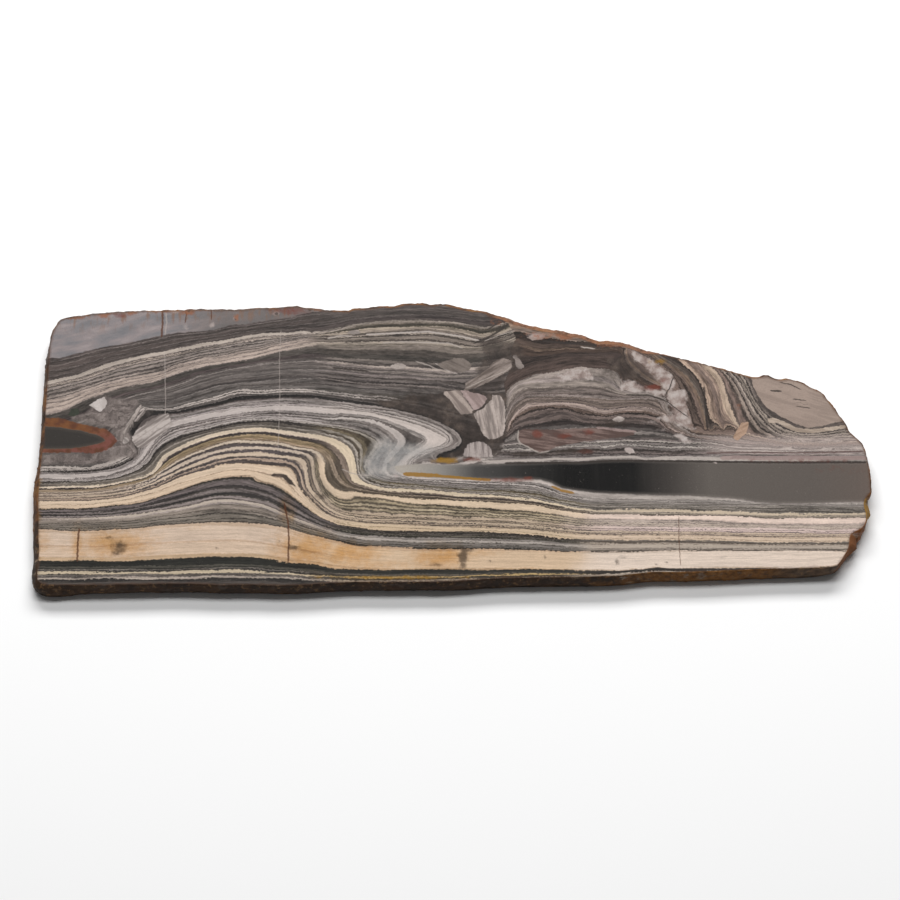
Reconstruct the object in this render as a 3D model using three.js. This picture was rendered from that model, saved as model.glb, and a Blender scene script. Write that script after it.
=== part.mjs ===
// A slice of banded stromatolite: one sawn slab of stone with a polished face, a sawn back and a rough natural rim.
// Millimetres. The slab lies on its back at z = 0 with the polished face up. X runs along the beds and Y across
// them, towards the younger ones, and the origin is at the middle of the back.
import * as THREE from "three";

const THICKNESS = 7;
const RIM_POINTS = 440; // points round the rim, about 1.7 mm apart
const BEVEL_DROP = 0.5; // how far a bevel drops for each millimetre of its width
const WALL_RINGS = 4; // rings of the rough wall between the bevel and the back
const BELLY_HEIGHT = 0.55; // where the wall stands out most, as a share of its height
const ROUGHNESS = 0.45; // how far the broken wall strays from its smooth form
const RIM_CHIPPING = 0.12; // how far small chips reach into the polished rim
const LUMP = 5.5; // size of the wall's larger lumps
const GRAIN = 1.9; // size of its smaller ones

// The rim, anticlockwise from the lower left corner, as stretches with one form of wall. Each has the width of
// the bevel inside the edge, and how far the wall's belly and foot stand outside it, or inside where negative.
const STRETCHES = [
  {
    name: "front corner, left",
    bevel: 0.6, belly: 1.3, foot: 0.6,
    points: [[-144.7, -57.0], [-142.4, -58.5], [-137, -58.8]],
  },
  {
    name: "front edge, left half",
    bevel: 0.4, belly: 0.4, foot: -0.6,
    points: [
      [-128, -58.8], [-118, -58.6], [-108, -58.3], [-98, -58.2], [-88, -58.3], [-79, -58.6],
      [-68, -58.6], [-59, -58.9], [-50, -58.6], [-40, -57.9], [-30, -57.5], [-18, -57.6], [-6, -57.4],
    ],
  },
  {
    name: "front edge, right half",
    bevel: 0.4, belly: 0.5, foot: -0.2,
    points: [
      [4, -57.0], [12, -56.4], [21, -55.9], [32, -55.7], [43, -55.6], [53, -55.3], [60, -55.0],
      [65, -54.3], [71, -53.6], [80, -53.6], [91, -53.3], [100, -52.9], [108, -52.5], [118, -52.2], [127, -51.9],
    ],
  },
  {
    name: "lower right corner",
    bevel: 0.3, belly: 0.2, foot: -0.9,
    points: [[132.6, -51.6], [135.4, -51.0], [137.1, -49.4], [138.6, -46.9], [140.0, -44.7]],
  },
  {
    name: "large rusty chip",
    bevel: 0.3, belly: 2.6, foot: 0.6,
    points: [[140.7, -42.1], [141.0, -39.6], [141.6, -37.9], [143.2, -37.1]],
  },
  {
    name: "between the chips",
    bevel: 0.3, belly: 0.1, foot: -0.8,
    points: [[145.4, -35.8], [146.7, -34.0], [147.4, -31.3]],
  },
  {
    name: "small golden chip",
    bevel: 0.3, belly: 1.7, foot: -0.4,
    points: [[147.2, -29.0], [146.8, -27.0], [146.8, -24.9]],
  },
  {
    name: "right edge",
    bevel: 0.4, belly: 0.1, foot: -0.9,
    points: [
      [148.1, -22.9], [149.3, -21.2], [149.6, -18], [149.5, -13.5], [149.2, -9], [148.6, -5],
      [147.7, -1.9], [146.0, 0.5], [143.7, 2.9], [142.5, 5.0], [142.1, 6.7], [140.1, 10], [138.1, 13.7],
      [136.0, 17.0], [134.0, 20.0],
    ],
  },
  {
    name: "back edge over the pale block",
    bevel: 0.7, belly: 0.4, foot: -0.3,
    points: [
      [131.4, 21.9], [129.4, 22.9], [127.4, 24.4], [125.0, 25.3], [121.6, 26.1], [118.5, 25.7], [116.1, 26.8],
      [114.1, 27.7], [112.2, 26.9], [109.0, 26.7],
    ],
  },
  {
    name: "back edge over the hanging beds",
    bevel: 0.5, belly: 0.3, foot: -0.2,
    points: [[106, 27.7], [100, 29.7], [92, 32.2], [84, 34.4], [77, 36.5]],
  },
  {
    name: "rusty bevelled back edge",
    bevel: 1.9, belly: 0.6, foot: 0.2,
    points: [
      [71, 38.4], [65.3, 40.8], [61, 42.0], [57, 42.4], [53.8, 42.4], [50.5, 43.7], [47.2, 45.1], [44.4, 45.4],
      [41.2, 46.8], [37.6, 47.3], [33.5, 47.9], [29.5, 49.0], [25.5, 50.1], [22.0, 51.6], [19.0, 53.0], [15.6, 53.8],
    ],
  },
  {
    name: "back edge at the crest",
    bevel: 1.0, belly: 0.5, foot: 0.0,
    points: [
      [12.5, 54.8], [8, 55.5], [3.5, 56.6], [0.6, 57.5], [-2.6, 58.1], [-5.4, 58.0], [-7.6, 57.7], [-9.7, 58.3],
      [-14, 58.3], [-17.6, 57.9], [-20.4, 57.0], [-24.5, 57.2], [-28.5, 56.6], [-31.5, 56.1], [-35, 56.1],
    ],
  },
  {
    name: "back edge over the lilac chert",
    bevel: 0.8, belly: 0.3, foot: -0.4,
    points: [
      [-37.6, 55.0], [-41, 55.3], [-44.6, 55.3], [-48, 56.0], [-51.8, 56.2], [-54.6, 56.9], [-59.4, 56.9],
      [-63.2, 56.3], [-70, 56.2], [-78, 55.7], [-86, 55.6], [-93, 55.8], [-99, 55.4], [-107, 55.2], [-115, 55.0],
      [-121, 54.6], [-127, 54.2], [-133.5, 53.2], [-139.6, 52.3],
    ],
  },
  {
    name: "upper left corner",
    bevel: 0.5, belly: 0.4, foot: 0.3,
    points: [[-141.7, 51.4], [-143.2, 49.2], [-144.5, 46.6], [-145.3, 43.0]],
  },
  {
    name: "left edge",
    bevel: 0.5, belly: 1.0, foot: 1.6,
    points: [[-145.6, 36], [-145.7, 27], [-145.8, 18], [-145.7, 9], [-145.7, 0], [-146.2, -8]],
  },
  {
    name: "left edge, lower half",
    bevel: 0.6, belly: 1.4, foot: 2.0,
    points: [[-146.6, -16], [-146.3, -24], [-145.9, -32], [-145.5, -39], [-145.0, -46], [-145.1, -52]],
  },
];

// A repeatable pseudo-random number from 0 to 1 for a cell of a lattice.
function cellValue(i, j, k) {
  const mixed = Math.sin(i * 127.1 + j * 311.7 + k * 74.7) * 43758.5453;
  return mixed - Math.floor(mixed);
}

// Smooth noise from -1 to 1 at a place, with lumps of the size given.
function noise(x, y, z, size) {
  const [px, py, pz] = [x / size, y / size, z / size];
  const [i, j, k] = [Math.floor(px), Math.floor(py), Math.floor(pz)];
  const ease = (t) => t * t * (3 - 2 * t);
  const [u, v, w] = [ease(px - i), ease(py - j), ease(pz - k)];
  let sum = 0;
  for (const [a, b, c] of [[0, 0, 0], [1, 0, 0], [0, 1, 0], [1, 1, 0], [0, 0, 1], [1, 0, 1], [0, 1, 1], [1, 1, 1]]) {
    const weight = (a ? u : 1 - u) * (b ? v : 1 - v) * (c ? w : 1 - w);
    sum += weight * cellValue(i + a, j + b, k + c);
  }
  return 2 * sum - 1;
}

// The rim's places, outward directions and wall forms, evenly spaced along its length.
function sampleRim() {
  const places = [];
  const forms = [];
  for (const { bevel, belly, foot, points } of STRETCHES) {
    for (const [x, y] of points) {
      places.push(new THREE.Vector3(x, y, 0));
      forms.push(new THREE.Vector3(bevel, belly, foot));
    }
  }
  const placeCurve = new THREE.CatmullRomCurve3(places, true, "centripetal");
  const formCurve = new THREE.CatmullRomCurve3(forms, true, "centripetal");
  placeCurve.arcLengthDivisions = 8 * RIM_POINTS;
  const rim = [];
  for (let i = 0; i < RIM_POINTS; i++) {
    const t = placeCurve.getUtoTmapping(i / RIM_POINTS);
    const tangent = placeCurve.getTangent(t);
    const form = formCurve.getPoint(t);
    rim.push({
      place: placeCurve.getPoint(t),
      out: new THREE.Vector3(tangent.y, -tangent.x, 0).normalize(),
      bevel: Math.max(form.x, 0.2),
      belly: form.y,
      foot: form.z,
    });
  }
  return rim;
}

// How far the wall stands outside the edge at a height share, from 0 at the back to 1 at the bevel.
function wallOffset(point, share) {
  if (share > BELLY_HEIGHT) {
    return point.belly * Math.cos(((share - BELLY_HEIGHT) / (1 - BELLY_HEIGHT)) * (Math.PI / 2));
  }
  const down = (BELLY_HEIGHT - share) / BELLY_HEIGHT;
  return THREE.MathUtils.lerp(point.belly, point.foot, down * down);
}

// The closed rings of the slab's side, from the polished rim down to the back.
function sideRings(rim) {
  const ringAt = (offsetOf, heightOf) =>
    rim.map((point) => {
      const moved = point.place.clone().addScaledVector(point.out, offsetOf(point));
      return moved.setZ(heightOf(point));
    });
  const wobble = (point, z, amount) => {
    const { x, y } = point.place;
    return amount * (0.65 * noise(x, y, z, LUMP) + 0.35 * noise(x + 40, y, z, GRAIN));
  };
  const edgeHeight = (point) => THICKNESS - BEVEL_DROP * point.bevel;
  const rings = [
    ringAt((point) => -point.bevel + wobble(point, THICKNESS, RIM_CHIPPING), () => THICKNESS),
    ringAt((point) => wobble(point, THICKNESS, RIM_CHIPPING), edgeHeight),
  ];
  for (let ring = WALL_RINGS; ring >= 1; ring--) {
    const share = ring / (WALL_RINGS + 1);
    const height = (point) => share * edgeHeight(point);
    rings.push(ringAt((point) => wallOffset(point, share) + wobble(point, height(point), ROUGHNESS), height));
  }
  rings.push(ringAt((point) => wallOffset(point, 0) + wobble(point, 0, RIM_CHIPPING), () => 0));
  return rings;
}

// The slab's closed surface: the polished face, the rings of its side, and the sawn back.
function sliceGeometry() {
  const rings = sideRings(sampleRim());
  const count = RIM_POINTS;
  const positions = rings.flat().flatMap((p) => [p.x, p.y, p.z]);
  const index = [];
  for (let ring = 0; ring + 1 < rings.length; ring++) {
    for (let i = 0; i < count; i++) {
      const next = (i + 1) % count;
      const [a, b] = [ring * count + i, ring * count + next];
      const [c, d] = [a + count, b + count];
      index.push(a, c, b, b, c, d);
    }
  }
  const flat = (ring) => ring.map((p) => new THREE.Vector2(p.x, p.y));
  for (const [a, b, c] of THREE.ShapeUtils.triangulateShape(flat(rings[0]), [])) {
    index.push(a, b, c);
  }
  const back = (rings.length - 1) * count;
  for (const [a, b, c] of THREE.ShapeUtils.triangulateShape(flat(rings.at(-1)), [])) {
    index.push(back + a, back + c, back + b);
  }
  const geometry = new THREE.BufferGeometry();
  geometry.setAttribute("position", new THREE.Float32BufferAttribute(positions, 3));
  geometry.setIndex(index);
  geometry.computeVertexNormals();
  return geometry;
}

const stone = new THREE.MeshStandardMaterial({ color: 0x7a716c, roughness: 0.35, metalness: 0 });
const slice = new THREE.Mesh(sliceGeometry(), stone);
slice.name = "slice";

const stromatoliteSlice = new THREE.Group();
stromatoliteSlice.add(slice);

export default stromatoliteSlice;
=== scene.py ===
"""A slab of banded stromatolite on a pale table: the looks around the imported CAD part.

The pattern of the polished face is drawn in millimetres of the face. Beds are traced as strokes, each with a
level, and every point between them takes a level by a smooth fill. A log of the beds gives each level its colour.
"""

import bmesh
import bpy
import numpy as np
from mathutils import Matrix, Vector, noise


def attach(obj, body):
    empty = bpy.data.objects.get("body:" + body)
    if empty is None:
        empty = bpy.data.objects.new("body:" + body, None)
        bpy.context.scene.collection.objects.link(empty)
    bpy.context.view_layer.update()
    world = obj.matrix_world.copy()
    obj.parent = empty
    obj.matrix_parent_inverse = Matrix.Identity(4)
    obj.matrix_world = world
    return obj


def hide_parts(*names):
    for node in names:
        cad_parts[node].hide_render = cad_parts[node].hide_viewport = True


bl_info = {
    "name": "Stromatolite slice",
    "version": (1, 0, 0),
    "blender": (4, 5, 0),
    "location": "3D View > Sidebar > Stone",
    "description": "Builds a polished slab of banded stromatolite and a plain stage for it",
    "category": "Object",
}

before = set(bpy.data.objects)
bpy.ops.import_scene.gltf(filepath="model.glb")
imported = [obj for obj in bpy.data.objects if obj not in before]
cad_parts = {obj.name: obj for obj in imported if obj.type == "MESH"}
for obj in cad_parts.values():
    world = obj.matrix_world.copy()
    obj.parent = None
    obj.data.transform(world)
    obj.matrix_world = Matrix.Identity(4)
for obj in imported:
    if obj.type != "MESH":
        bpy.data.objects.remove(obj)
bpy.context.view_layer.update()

MM = 0.001

# The lights: name, place and height in metres, and share of the power. The gap between them keeps their
# reflections out of the polished face.
SOFT_LIGHTS = (("Overhead light", (0.0, 0.34, 1.27), 0.32, 0.32), ("Back light", (0.0, 1.0, 0.97), 0.38, 0.68))

# The field that the beds are filled in on, in millimetres of the face.
FIELD_LOW = (-153.0, -65.0)
FIELD_HIGH = (155.0, 63.0)
FIELD_STEPS = (4.0, 2.0, 1.0, 0.5)
STROKE_STEP = 0.5
HOLD = 25.0
FILL_ROUNDS = 140

# Beds of the main series: level, and strokes through points "x,y"; a slash lifts the pen.
BEDS = {
    0: """-150,-58 -100,-58 -60,-58.6 -20,-58.5 20,-57 60,-56.5 100,-55.5 140,-55 150,-55""",
    1: """-150,-55.9 -130,-55.9 -116,-55.5 -104,-55.6 -88,-55.4 -80,-55 -72,-55 -64,-55.4 -56,-55.7 -50,-56
        -44,-56.4 -38,-56.8 -30,-57 -20,-56.8 -12,-56.7 -4,-56.4 4,-56.2 12,-56 20,-55.6 32,-55.4 50,-55.3
        62,-54.6 72,-53.9 90,-53.9 140,-53.6 150,-53.6""",
    2: """-150,-53.7 -130,-53.6 -104,-53.7 -88,-53.5 -80,-53.1 -72,-53.2 -64,-53.6 -56,-54 -50,-54.5 -42,-55
        -34,-55.5 -24,-55.6 -12,-55.4 4,-55.2 10,-54.8 20,-54.5 28,-54.1 36,-54.3 50,-54.3 58,-54.1 64,-53.5
        70,-53 76,-52.8 84,-53 100,-53 140,-52.6 150,-52.6""",
    3: """-150,-48.7 -136,-48.9 -132,-48.6 -120,-48.9 -112,-48.7 -104,-48.1 -98,-47.9 -88,-47.5 -80,-47.3
        -72,-47.3 -68,-47.6 -64,-48.2 -60,-48.9 -56,-49.6 -50,-50 -46,-50.6 -42,-51.4 -38,-52 -30,-52.5
        -22,-52.6 -14,-52.5 -8,-52.3 0,-52.3 8,-52.4 20,-52.4 28,-52 34,-52.3 44,-52.6 60,-52.7 64,-52.5
        68,-52.3 70,-51.7 73,-51.2 76,-51.7 84,-51.9 100,-52 112,-51.9 128,-51.7 136,-51 150,-50.8""",
    4: """-150,-36 -140,-36.2 -136,-36.8 -128,-36.8 -120,-36.2 -112,-35.8 -108,-35.5 -104,-34.9 -100,-34.5
        -96,-34.1 -92,-33.8 -84,-33.4 -76,-33.3 -72,-33.4 -68,-33.8 -64,-34.4 -60,-35.3 -56,-36.2 -54,-37
        -50,-38.4 -46,-39.3 -42,-40.3 -38,-41.3 -34,-42.3 -30,-42.9 -24,-43.3 -16,-43.7 -8,-44 4,-43.9
        20,-44 28,-44.4 36,-44.8 44,-45.2 52,-45.2 60,-45.1 68,-44.9 76,-44.7 100,-44.7 139,-44.7 150,-44.7""",
    5: """-150,-32 -136,-32 -128,-31.7 -120,-31.5 -116,-31.2 -112,-30.7 -108,-30 -104,-29.3 -100,-28.6
        -96,-27.8 -92,-27 -88,-26 -84,-24.8 -78,-24.8 -74,-25.3 -70,-25.9 -66,-26.6 -64,-27.4 -62,-28.5
        -60,-29.5 -56,-31.5 -52,-33.3 -48,-34.9 -44,-36.4 -40,-37.7 -36,-38.5 -32,-39.2 -28,-39.6 -20,-40.1
        -12,-40.5 0,-40.5 8,-40.7 16,-40.9 24,-41 32,-41.5 40,-42.3 48,-42.7 60,-43 84,-43 112,-43.4
        138,-43.3 150,-43.3""",
    6: """-150,-27.9 -132,-28 -124,-27.4 -120,-26.8 -116,-26.2 -112,-25.6 -108,-24.6 -104,-23.2 -100,-21.6
        -96,-20.2 -92,-18.6 -88,-17 -84,-15.8 -80,-15 -76,-14.8 -72,-14.7 -70,-14.9 -68.6,-16.7 -66,-17.4
        -64,-17.8 -60,-19.6 -56,-22.8 -52,-26.3 -50,-27.7 -48,-29.5 -46,-31 -44,-32 -40,-34 -36,-34.8
        -32,-35.4 -28,-36 -20,-36.4 -12,-36.8 0,-37 8,-37.2 16,-37.5 24,-38.2 32,-38.9 36,-39.5 44,-40.1
        52,-40.5 60,-40.5 76,-40.3 92,-40.6 104,-41 112,-41.5 124,-41.4 138,-41.4 150,-41.4""",
    7: """-150,-25 -128,-24.7 -124,-24.3 -120,-23.8 -116,-23 -112,-21.8 -108,-20.5 -104,-19.2 -100,-17.2
        -96,-15.2 -92,-13.6 -88,-12.4 -84,-11.3 -83.3,-10.3 -80,-9.8 -76,-9.3 -72,-9.2 -68,-9.6 -64,-9.9
        -60,-10.4 -57,-11 -55.5,-12.5 -54.5,-14.5 -53.8,-17 -53.2,-19 -52,-21 -50.5,-23 -49,-25 -47,-27
        -45,-28.8 -43,-30.2 -41,-31.2 -38,-32 -34,-32.8 -28,-33.4 -20,-33.8 -12,-34.3 -4,-34.6 4,-34.8
        12,-35.1 20,-35.3 28,-35.9 36,-36.9 44,-37.8 52,-38.2 76,-38.3 92,-38.4 104,-39 120,-39.3
        150,-39.3""",
    8: """-150,-23.2 -136,-23 -128,-22.6 -120,-21.8 -116,-21 -112,-20 -108,-18.5 -104,-17 -100,-14.8
        -96,-12.3 -92,-10.5 -88,-8.8 -84,-7 -80,-6 -76,-5.5 -68,-5.5 -64,-6.1 -60,-6.7 -56,-7 -53,-7.6
        -51.8,-9 -51.2,-12 -50.9,-15 -50.6,-18 -49.5,-20.5 -47.8,-22.5 -46.3,-24 -44.5,-26.3 -42.5,-28
        -40,-29.5 -37,-30.7 -33,-31.4 -28,-31.9 -20,-32.3 -12,-32.7 -4,-33 4,-33.4 12,-33.7 20,-34 28,-34.7
        36,-35.8 44,-36.8 52,-37.2 76,-37.2 92,-37.3 104,-38 120,-38.2 150,-38.3""",
    9: """-104,-14.5 -100,-12.6 -96,-10 -92,-8 -88,-6.2 -84,-4.7 -80,-3.6 -76,-3 -68,-3 -64,-3.3 -60,-3.9
        -56,-4.4 -53,-5 -50.3,-6.2 -49,-8 -48.8,-12 -48.5,-15 -47.5,-18 -46.5,-20.5 -44,-24 -42,-26.5
        -38,-28.7 -32,-29.8 -20,-30.8 0,-31.6 20,-32.3 40,-34.6 60,-35.6 100,-36 150,-36.6""",
    9.5: """-34,-22.6 -24,-24 -12,-25.8 -4,-26.3 4,-27.2 12,-27.7 20,-28.3 28,-28.8 32,-29.3 36,-30 44,-31.3
        52,-32 68,-32.3 92,-32.6 100,-33.2 108,-33.6 116,-34 136,-33.9 150,-34""",
    10: """-84,-2.2 -80,-1 -76,-0.4 -68,-0.4 -64,-0.8 -60,-1.5 -57,-2.5 -54,-3.2 -50,-3.7 -47.5,-5 -45.5,-6.8
        -44.5,-9 -44.4,-13 -43.8,-16 -42.5,-18 -41,-19.5 -38.5,-20.6 -34,-21 -30,-21.6 -24,-22.3 -20,-22.6
        -12,-23.8 -4,-24.2 4,-24.6 12,-25.1 20,-25.5 28,-26 32,-26.6 36,-27.7 40,-28.6 44,-29.3 52,-30.1
        60,-30.3 84,-30.4 96,-30.6 104,-31.1 112,-31.7 124,-31.8 140,-31.5 150,-31.3""",
    12: """-150,-19.5 -128,-19.1 -124,-18.6 -120,-17.8 -116,-16.8 -112,-16 -108,-14.8 -105.5,-13 -104,-11
        -103,-8.5 -101.5,-6.5 -98,-4.2 -94,-1.8 -90,0.2 -86,1.9 -82,3.1 -78,4 -74,4.5 -70,4.7 -66,4.4
        -62,3.7 -58,3.1 -54,2.5 -50,1.8 -47,1.5 -44,0.4 -41,-0.9 -39,-2.3 -37.3,-4 -36,-5.8 -35,-8
        -34.6,-11 -35,-14 -34.5,-16.5 -32,-17.7 -28,-19 -24,-20 -16,-20.5 -12,-20.8 -4,-21.2 4,-22.4
        12,-22.9 20,-23.2 28,-24.3 36,-26 44,-28 52,-28.8 76,-29 92,-29.3 104,-30 124,-30.6 150,-30.1""",
    13: """-150,-16.9 -128,-16.6 -118,-15 -111,-12 -107.5,-9 -105.5,-5 -103,-2 -100,0 -96,1.8 -92,3.1
        -88,4.3 -84,5.5 -80,6.5 -76,7.4 -72,7.8 -66,8.2 -60,7.9 -54,7 -46,6.3 -40,5.2 -36,4.4
        -32,2.8 -28.5,1 -26.2,-0.8 -25.6,-2.4 -28,-5.4 -30,-8.6 -30.4,-11.6 -28,-14.6 -24,-16.4 -12,-18 4,-19.5 20,-20.4 32,-21.5 40,-24.3 48,-25.5 60,-26
        100,-26.8 150,-27.6""",
    13.7: """-40,8.3 -34,7.4 -30,6.4 -26,4.6 -23,2.6 -21,0.4 -20.3,-1 -22.5,-3.6 -25.5,-7 -26.8,-10.6
        -25.5,-14 -20,-15.8""",
    14: """-10,-16.4 0,-17 12,-17.6 24,-18 30,-18.6 34,-20 38,-22 42,-23.2 52,-24.5 60,-24.6 100,-25.3
        150,-26.6""",
    14.2: """-40,10.6 -34,10 -28,8.8 -22,6.6 -18,4.9 -14,2.9 -11,0.9 -9.3,0.2 -12,-1.6 -16,-3.4 -19.5,-6.8
        -22,-10.5 -21.5,-13.8 -14,-15.7""",
    14.5: """-150,-15.9 -128,-15.6 -120,-14.5""",
    15: """-150,-14.2 -128,-14 -120,-13.1 -116,-12 -112,-9.8 -110,-7 -108.5,-4 -107,-1 -105,2.5 -101,6.5
        -98,7.3 -94,8.4 -88,9.9 -84,10.7 -80,11.5 -76,12.6 -68,13 -64,13.7 -60,13.8 -50,13 -42,12.4 -34,12
        -28,10.9 -22,9.2 -16,7 -10,4.8 -5,2.4 -1.8,0.3 -4,-1.8 -9,-3.6 -14,-6.4 -17,-9.6 -18.4,-12.6 -15,-14.6
        -8,-15.3 0,-15.8 16,-16 28,-16
        32,-16.3 36,-17.5 40,-19.8 52,-21.6 76,-22.6 100,-23.8 108,-25.3 150,-25.4""",
    16.4: """-34,14 -26,13.2 -20,12.2 -14,10.6 -8,8.6 -3,6 1,3 3,0 0,-2.6 -6,-4.6 -11,-7.6 -13.5,-10""",
    17: """-150,-12.9 -132,-12.7 -124,-12.1 -120,-11.1 -117,-9.8 -114,-7.8 -111.5,-5.5 -113,-1 -115.3,1.3 -113,6
        -110.5,10.5 -107,12 -100,11.7 -96,12.3 -92,13.3 -88,14.5 -84,15.5 -80,16.8 -76,17.8 -68,18.2
        -60,18.7 -54,18.7 -46,17.8 -38,16.9 -31,16 -26,15 -20,13.6 -14,12 -8,10.3 -2,8 3,4.8 5.8,1 5,-3
        1,-5.4 -4,-7.2""",
    18: """-150,-12.1 -128,-11.8 -124,-11.2 -120,-10 -117,-8.5 -114,-6.8 -112.5,-5 -116,-1 -117,2.5
        -115.5,6 -113.5,10 -111,14 -107,13 -104,12.8 -100,13 -96,14.3 -92,15.5 -88,16.7 -84,18 -80,19.5
        -76,20.7 -72,20.5 -66,20.4 -60,20.9 -54,20.7 -46,20 -38,19 -32,18 -26,17.5""",
    20: """-100,17.5 -92,20.5 -84,23.5 -76,24.6 -68,25.6 -60,26.5 -48,27 -40,25.8 -32,24.6 -24,24.2
        -12,23.6 -4,23.4 4,21.8""",
    22: """-92,26.5 -80,29.8 -68,32 -54,33.3 -50,33.6 -42,32.8 -34,31.9 -26,31 -12,30.5 0,28.5""",
    24: """-150,9.5 -142,11.5 -138,12.4 -134,15 -130,17.3 -124,19.8 -116,22.3 -108,24.2 -104,25.8 -100,27.3
        -96,28.8 -92,29.9 -88,31 -84,31.7 -80,32.6 -76,33.3 -72,34.2 -68,35.6 -64,36.6 -60,37.5 -56,38.2
        -52,39 -48,39.8 -36,39.6 -24,39.8 -8,39.9 4,38""",
    25: """-150,15.5 -140,17.5 -132,20.5 -124,24 -116,26 -108,27.5 -104,28.6 -100,31 -96,32.2 -92,33.4
        -88,34.5 -84,35 -80,36 -76,37.3 -72,37.8 -68,38.5 -64,40.3 -60,41 -56,42 -52,43 -44,43 -36,43.4
        -24,43.9 -8,44.8 0,43.6 10,41.2""",
    26: """-146,21.5 -132,25.4 -120,30 -108,33.2 -92,37.4 -76,40.8 -66,42.4 -52,44 -42,45.2 -30,46.8
        -24,47.2 -16,47.5 -8,48 -4,47.8 0,47.4 4,46.6 8,45.5 12,44.2""",
    27: """-150,22.9 -144.5,23.9 -140,25.3 -136,26.2 -132,27.6 -128,29.6 -124,31.2 -120,32.4 -116,33.8
        -112,34.6 -108,35.6 -104,36.3 -100,37.5 -96,38.5 -92,39.6 -88,40.4 -84,41.2 -80,42 -76,42.9
        -72,43.7 -68,44.6 -64,45 -58,44.8 -54,45.5 -50.5,44.7 -46,45.3 -42,46.4 -36,48.3 -32,49 -26,50.1
        -18,50.5 -12,50.4 0,50.2 10,48.4""",
    30: """-150,34.4 -141,34.6 -136,36.3 -132,37.5 -128,38.7 -124,39.8 -120,40.3 -116,41 -112,42.2
        -108,43.4 -104,44 -100,45.3 -92,45.9 -86,46.6 -80,48.6 -74,49 -70,50 -64,51.2 -58,52.3 -54,53.6
        -50,54.3 -46,54.6 -30,56.4 -10,57.6 8,55.2""",
    36: """-150,63 -100,63 -40,63 20,62""",
}

# Heights at which these levels lie in the thick middle of the arch, which give fine laminae their pitch.
LAMINA_HEIGHTS = (
    (0, -58.6), (1, -55.2), (2, -53.2), (3, -47.3), (4, -33.3), (5, -24.9), (6, -14.8), (7, -9.3), (8, -5.5),
    (9, -3), (9.5, -1.7), (10, -0.4), (12, 4.5), (13, 7.6), (15, 12.6), (17, 17.8), (18, 20.6), (20, 24.6),
    (22, 30.0), (24, 33.3), (25, 37.3), (27, 42.9), (30, 48.9), (36, 62.0),
)

# Beds of the north-east, round the dome and in the hanging beds right of it.
DOME = {
    0: """12,-8 32,-8 60,-7.2 84,-7 100,-7.4 150,-7.6""",
    1: """16,-6 30,-6.2 40,-5.8 53,-5.5 66,-5.8 80,-5.8 84,-5.2 88,-6 99,-5.2 108,-5.7 120,-5.6 127,-6.4
        130,-5.8 138,-5 150,-4.6""",
    2: """34,-3.5 37,-2.5 44,-2 52,-1.8 55,-2.8 60,-1.8 68,-2.3 84,-2.4 91,-3 102,-4 126,-4.8 150,-4.2""",
    3: """25,-1.5 34,-0.9 40,-0.6 46,-0.4 60,-0.2 76,0 84,-0.6 95,-1.2 100,-2.2 110,-3 126,-3.8 150,-3.2""",
    4: """22,2 26,3.6 36,4.4 44,4.6 52.5,5.3 56,4.8 60,4.3 66,3.6 76,3.2 84,1.5 92,0 100,-0.9 106,-1.4
        114,-1.9 126,-2.6 150,-2""",
    5: """21.5,3 23,5.5 27,7.3 31,8.2 36,9.8 40,10.8 44,10 48,7.8 52,7.2 60,7.4 66,8.2 72,7.4 76,5.8""",
    6: """21,3.5 22.5,7 25,10 28,11.4 31,12.6 36,13.7 42,13.2 48,11 52,10.2 56,9.9 62,11.2 70,11.2 76,9.3""",
    7: """20.6,4 22,8 24.5,12 28,15.2 34,15.5 40,15.7 44,15.3 48,14.7 52,13 55,12 60,13 64,13.7 68,13.4
        72,13 76,11.3 77.5,10.5""",
    9: """20.2,6 20.8,10 22,14 24,17 27,18.7 34,18.8 44,18.4 52,17.8 60,17.5 66,17.6 72,17.8 77,15.8""",
    10: """20.1,12 20.8,16.5 22.5,20 25,22.2 28,23.2 34,23.6 44,23.8 52,24""",
    11: """19.8,18 21,21 24,24 28,26 31,27.4 36,28.2 42,29.9 46,30.9 52,30.4 57,30.2 60.5,28.6 61.6,25.5 62,22.5
        66,20.6 71,20.6 77.5,17.8""",
    12: """17,22 19,26 24,29.5 30,32.5 40,35 52,35.3 62,35.8""",
    13: """20,37 24,39.6 28,38.3 31,36.8 36,37 42,38.2 50,37.8 58,38.7 62,38.3""",
    14: """24,46 34,42.8 42,41.8 50,41 54,40 58,40 64,38.5""",
    15: """17,50 26,48.5 40,46 52,43.4 60,42 66,40""",
    20: """65.4,39.4 67.4,38 73,34.5 78,30.5 81.5,26 84,20.5 85.5,14 86.8,8 87.5,4""",
    21: """69,39.2 76.8,33 83.8,27 87.7,21 89.3,16 90.5,9 91.4,4""",
    22: """76,37.2 79.1,35 86.9,29 90.1,24 91.6,17.8 92.2,10 93.6,4""",
    23: """86,34 91,29 94.5,24 96,18 96.6,10 98,4.5""",
    24: """91.5,33 94,30.5 97.9,25.6 99,19.3 99.7,13 102,7.5 104.5,3.5 110,1.6 122,-0.9 130,-1.4 150,-0.8""",
    25: """97,31.5 100,28 103,23.5 105.5,18 107.5,12 109.2,7.5 111.5,4.3 116,2.2 122,0.4 128,-0.3 136,0
        150,0.6""",
    26: """101.8,29.6 105.5,25 107.5,20 109.5,15 112.5,10 115,6.5 119,3.5 126,1.6 134,2 141,3.2 150,3.4""",
    27: """106.5,28.4 108.5,24.5 109.8,19.5 111.8,15 114.5,11.5 118.5,8 124,4.9 130,4 136,4.8 142,6 150,7""",
}

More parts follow.
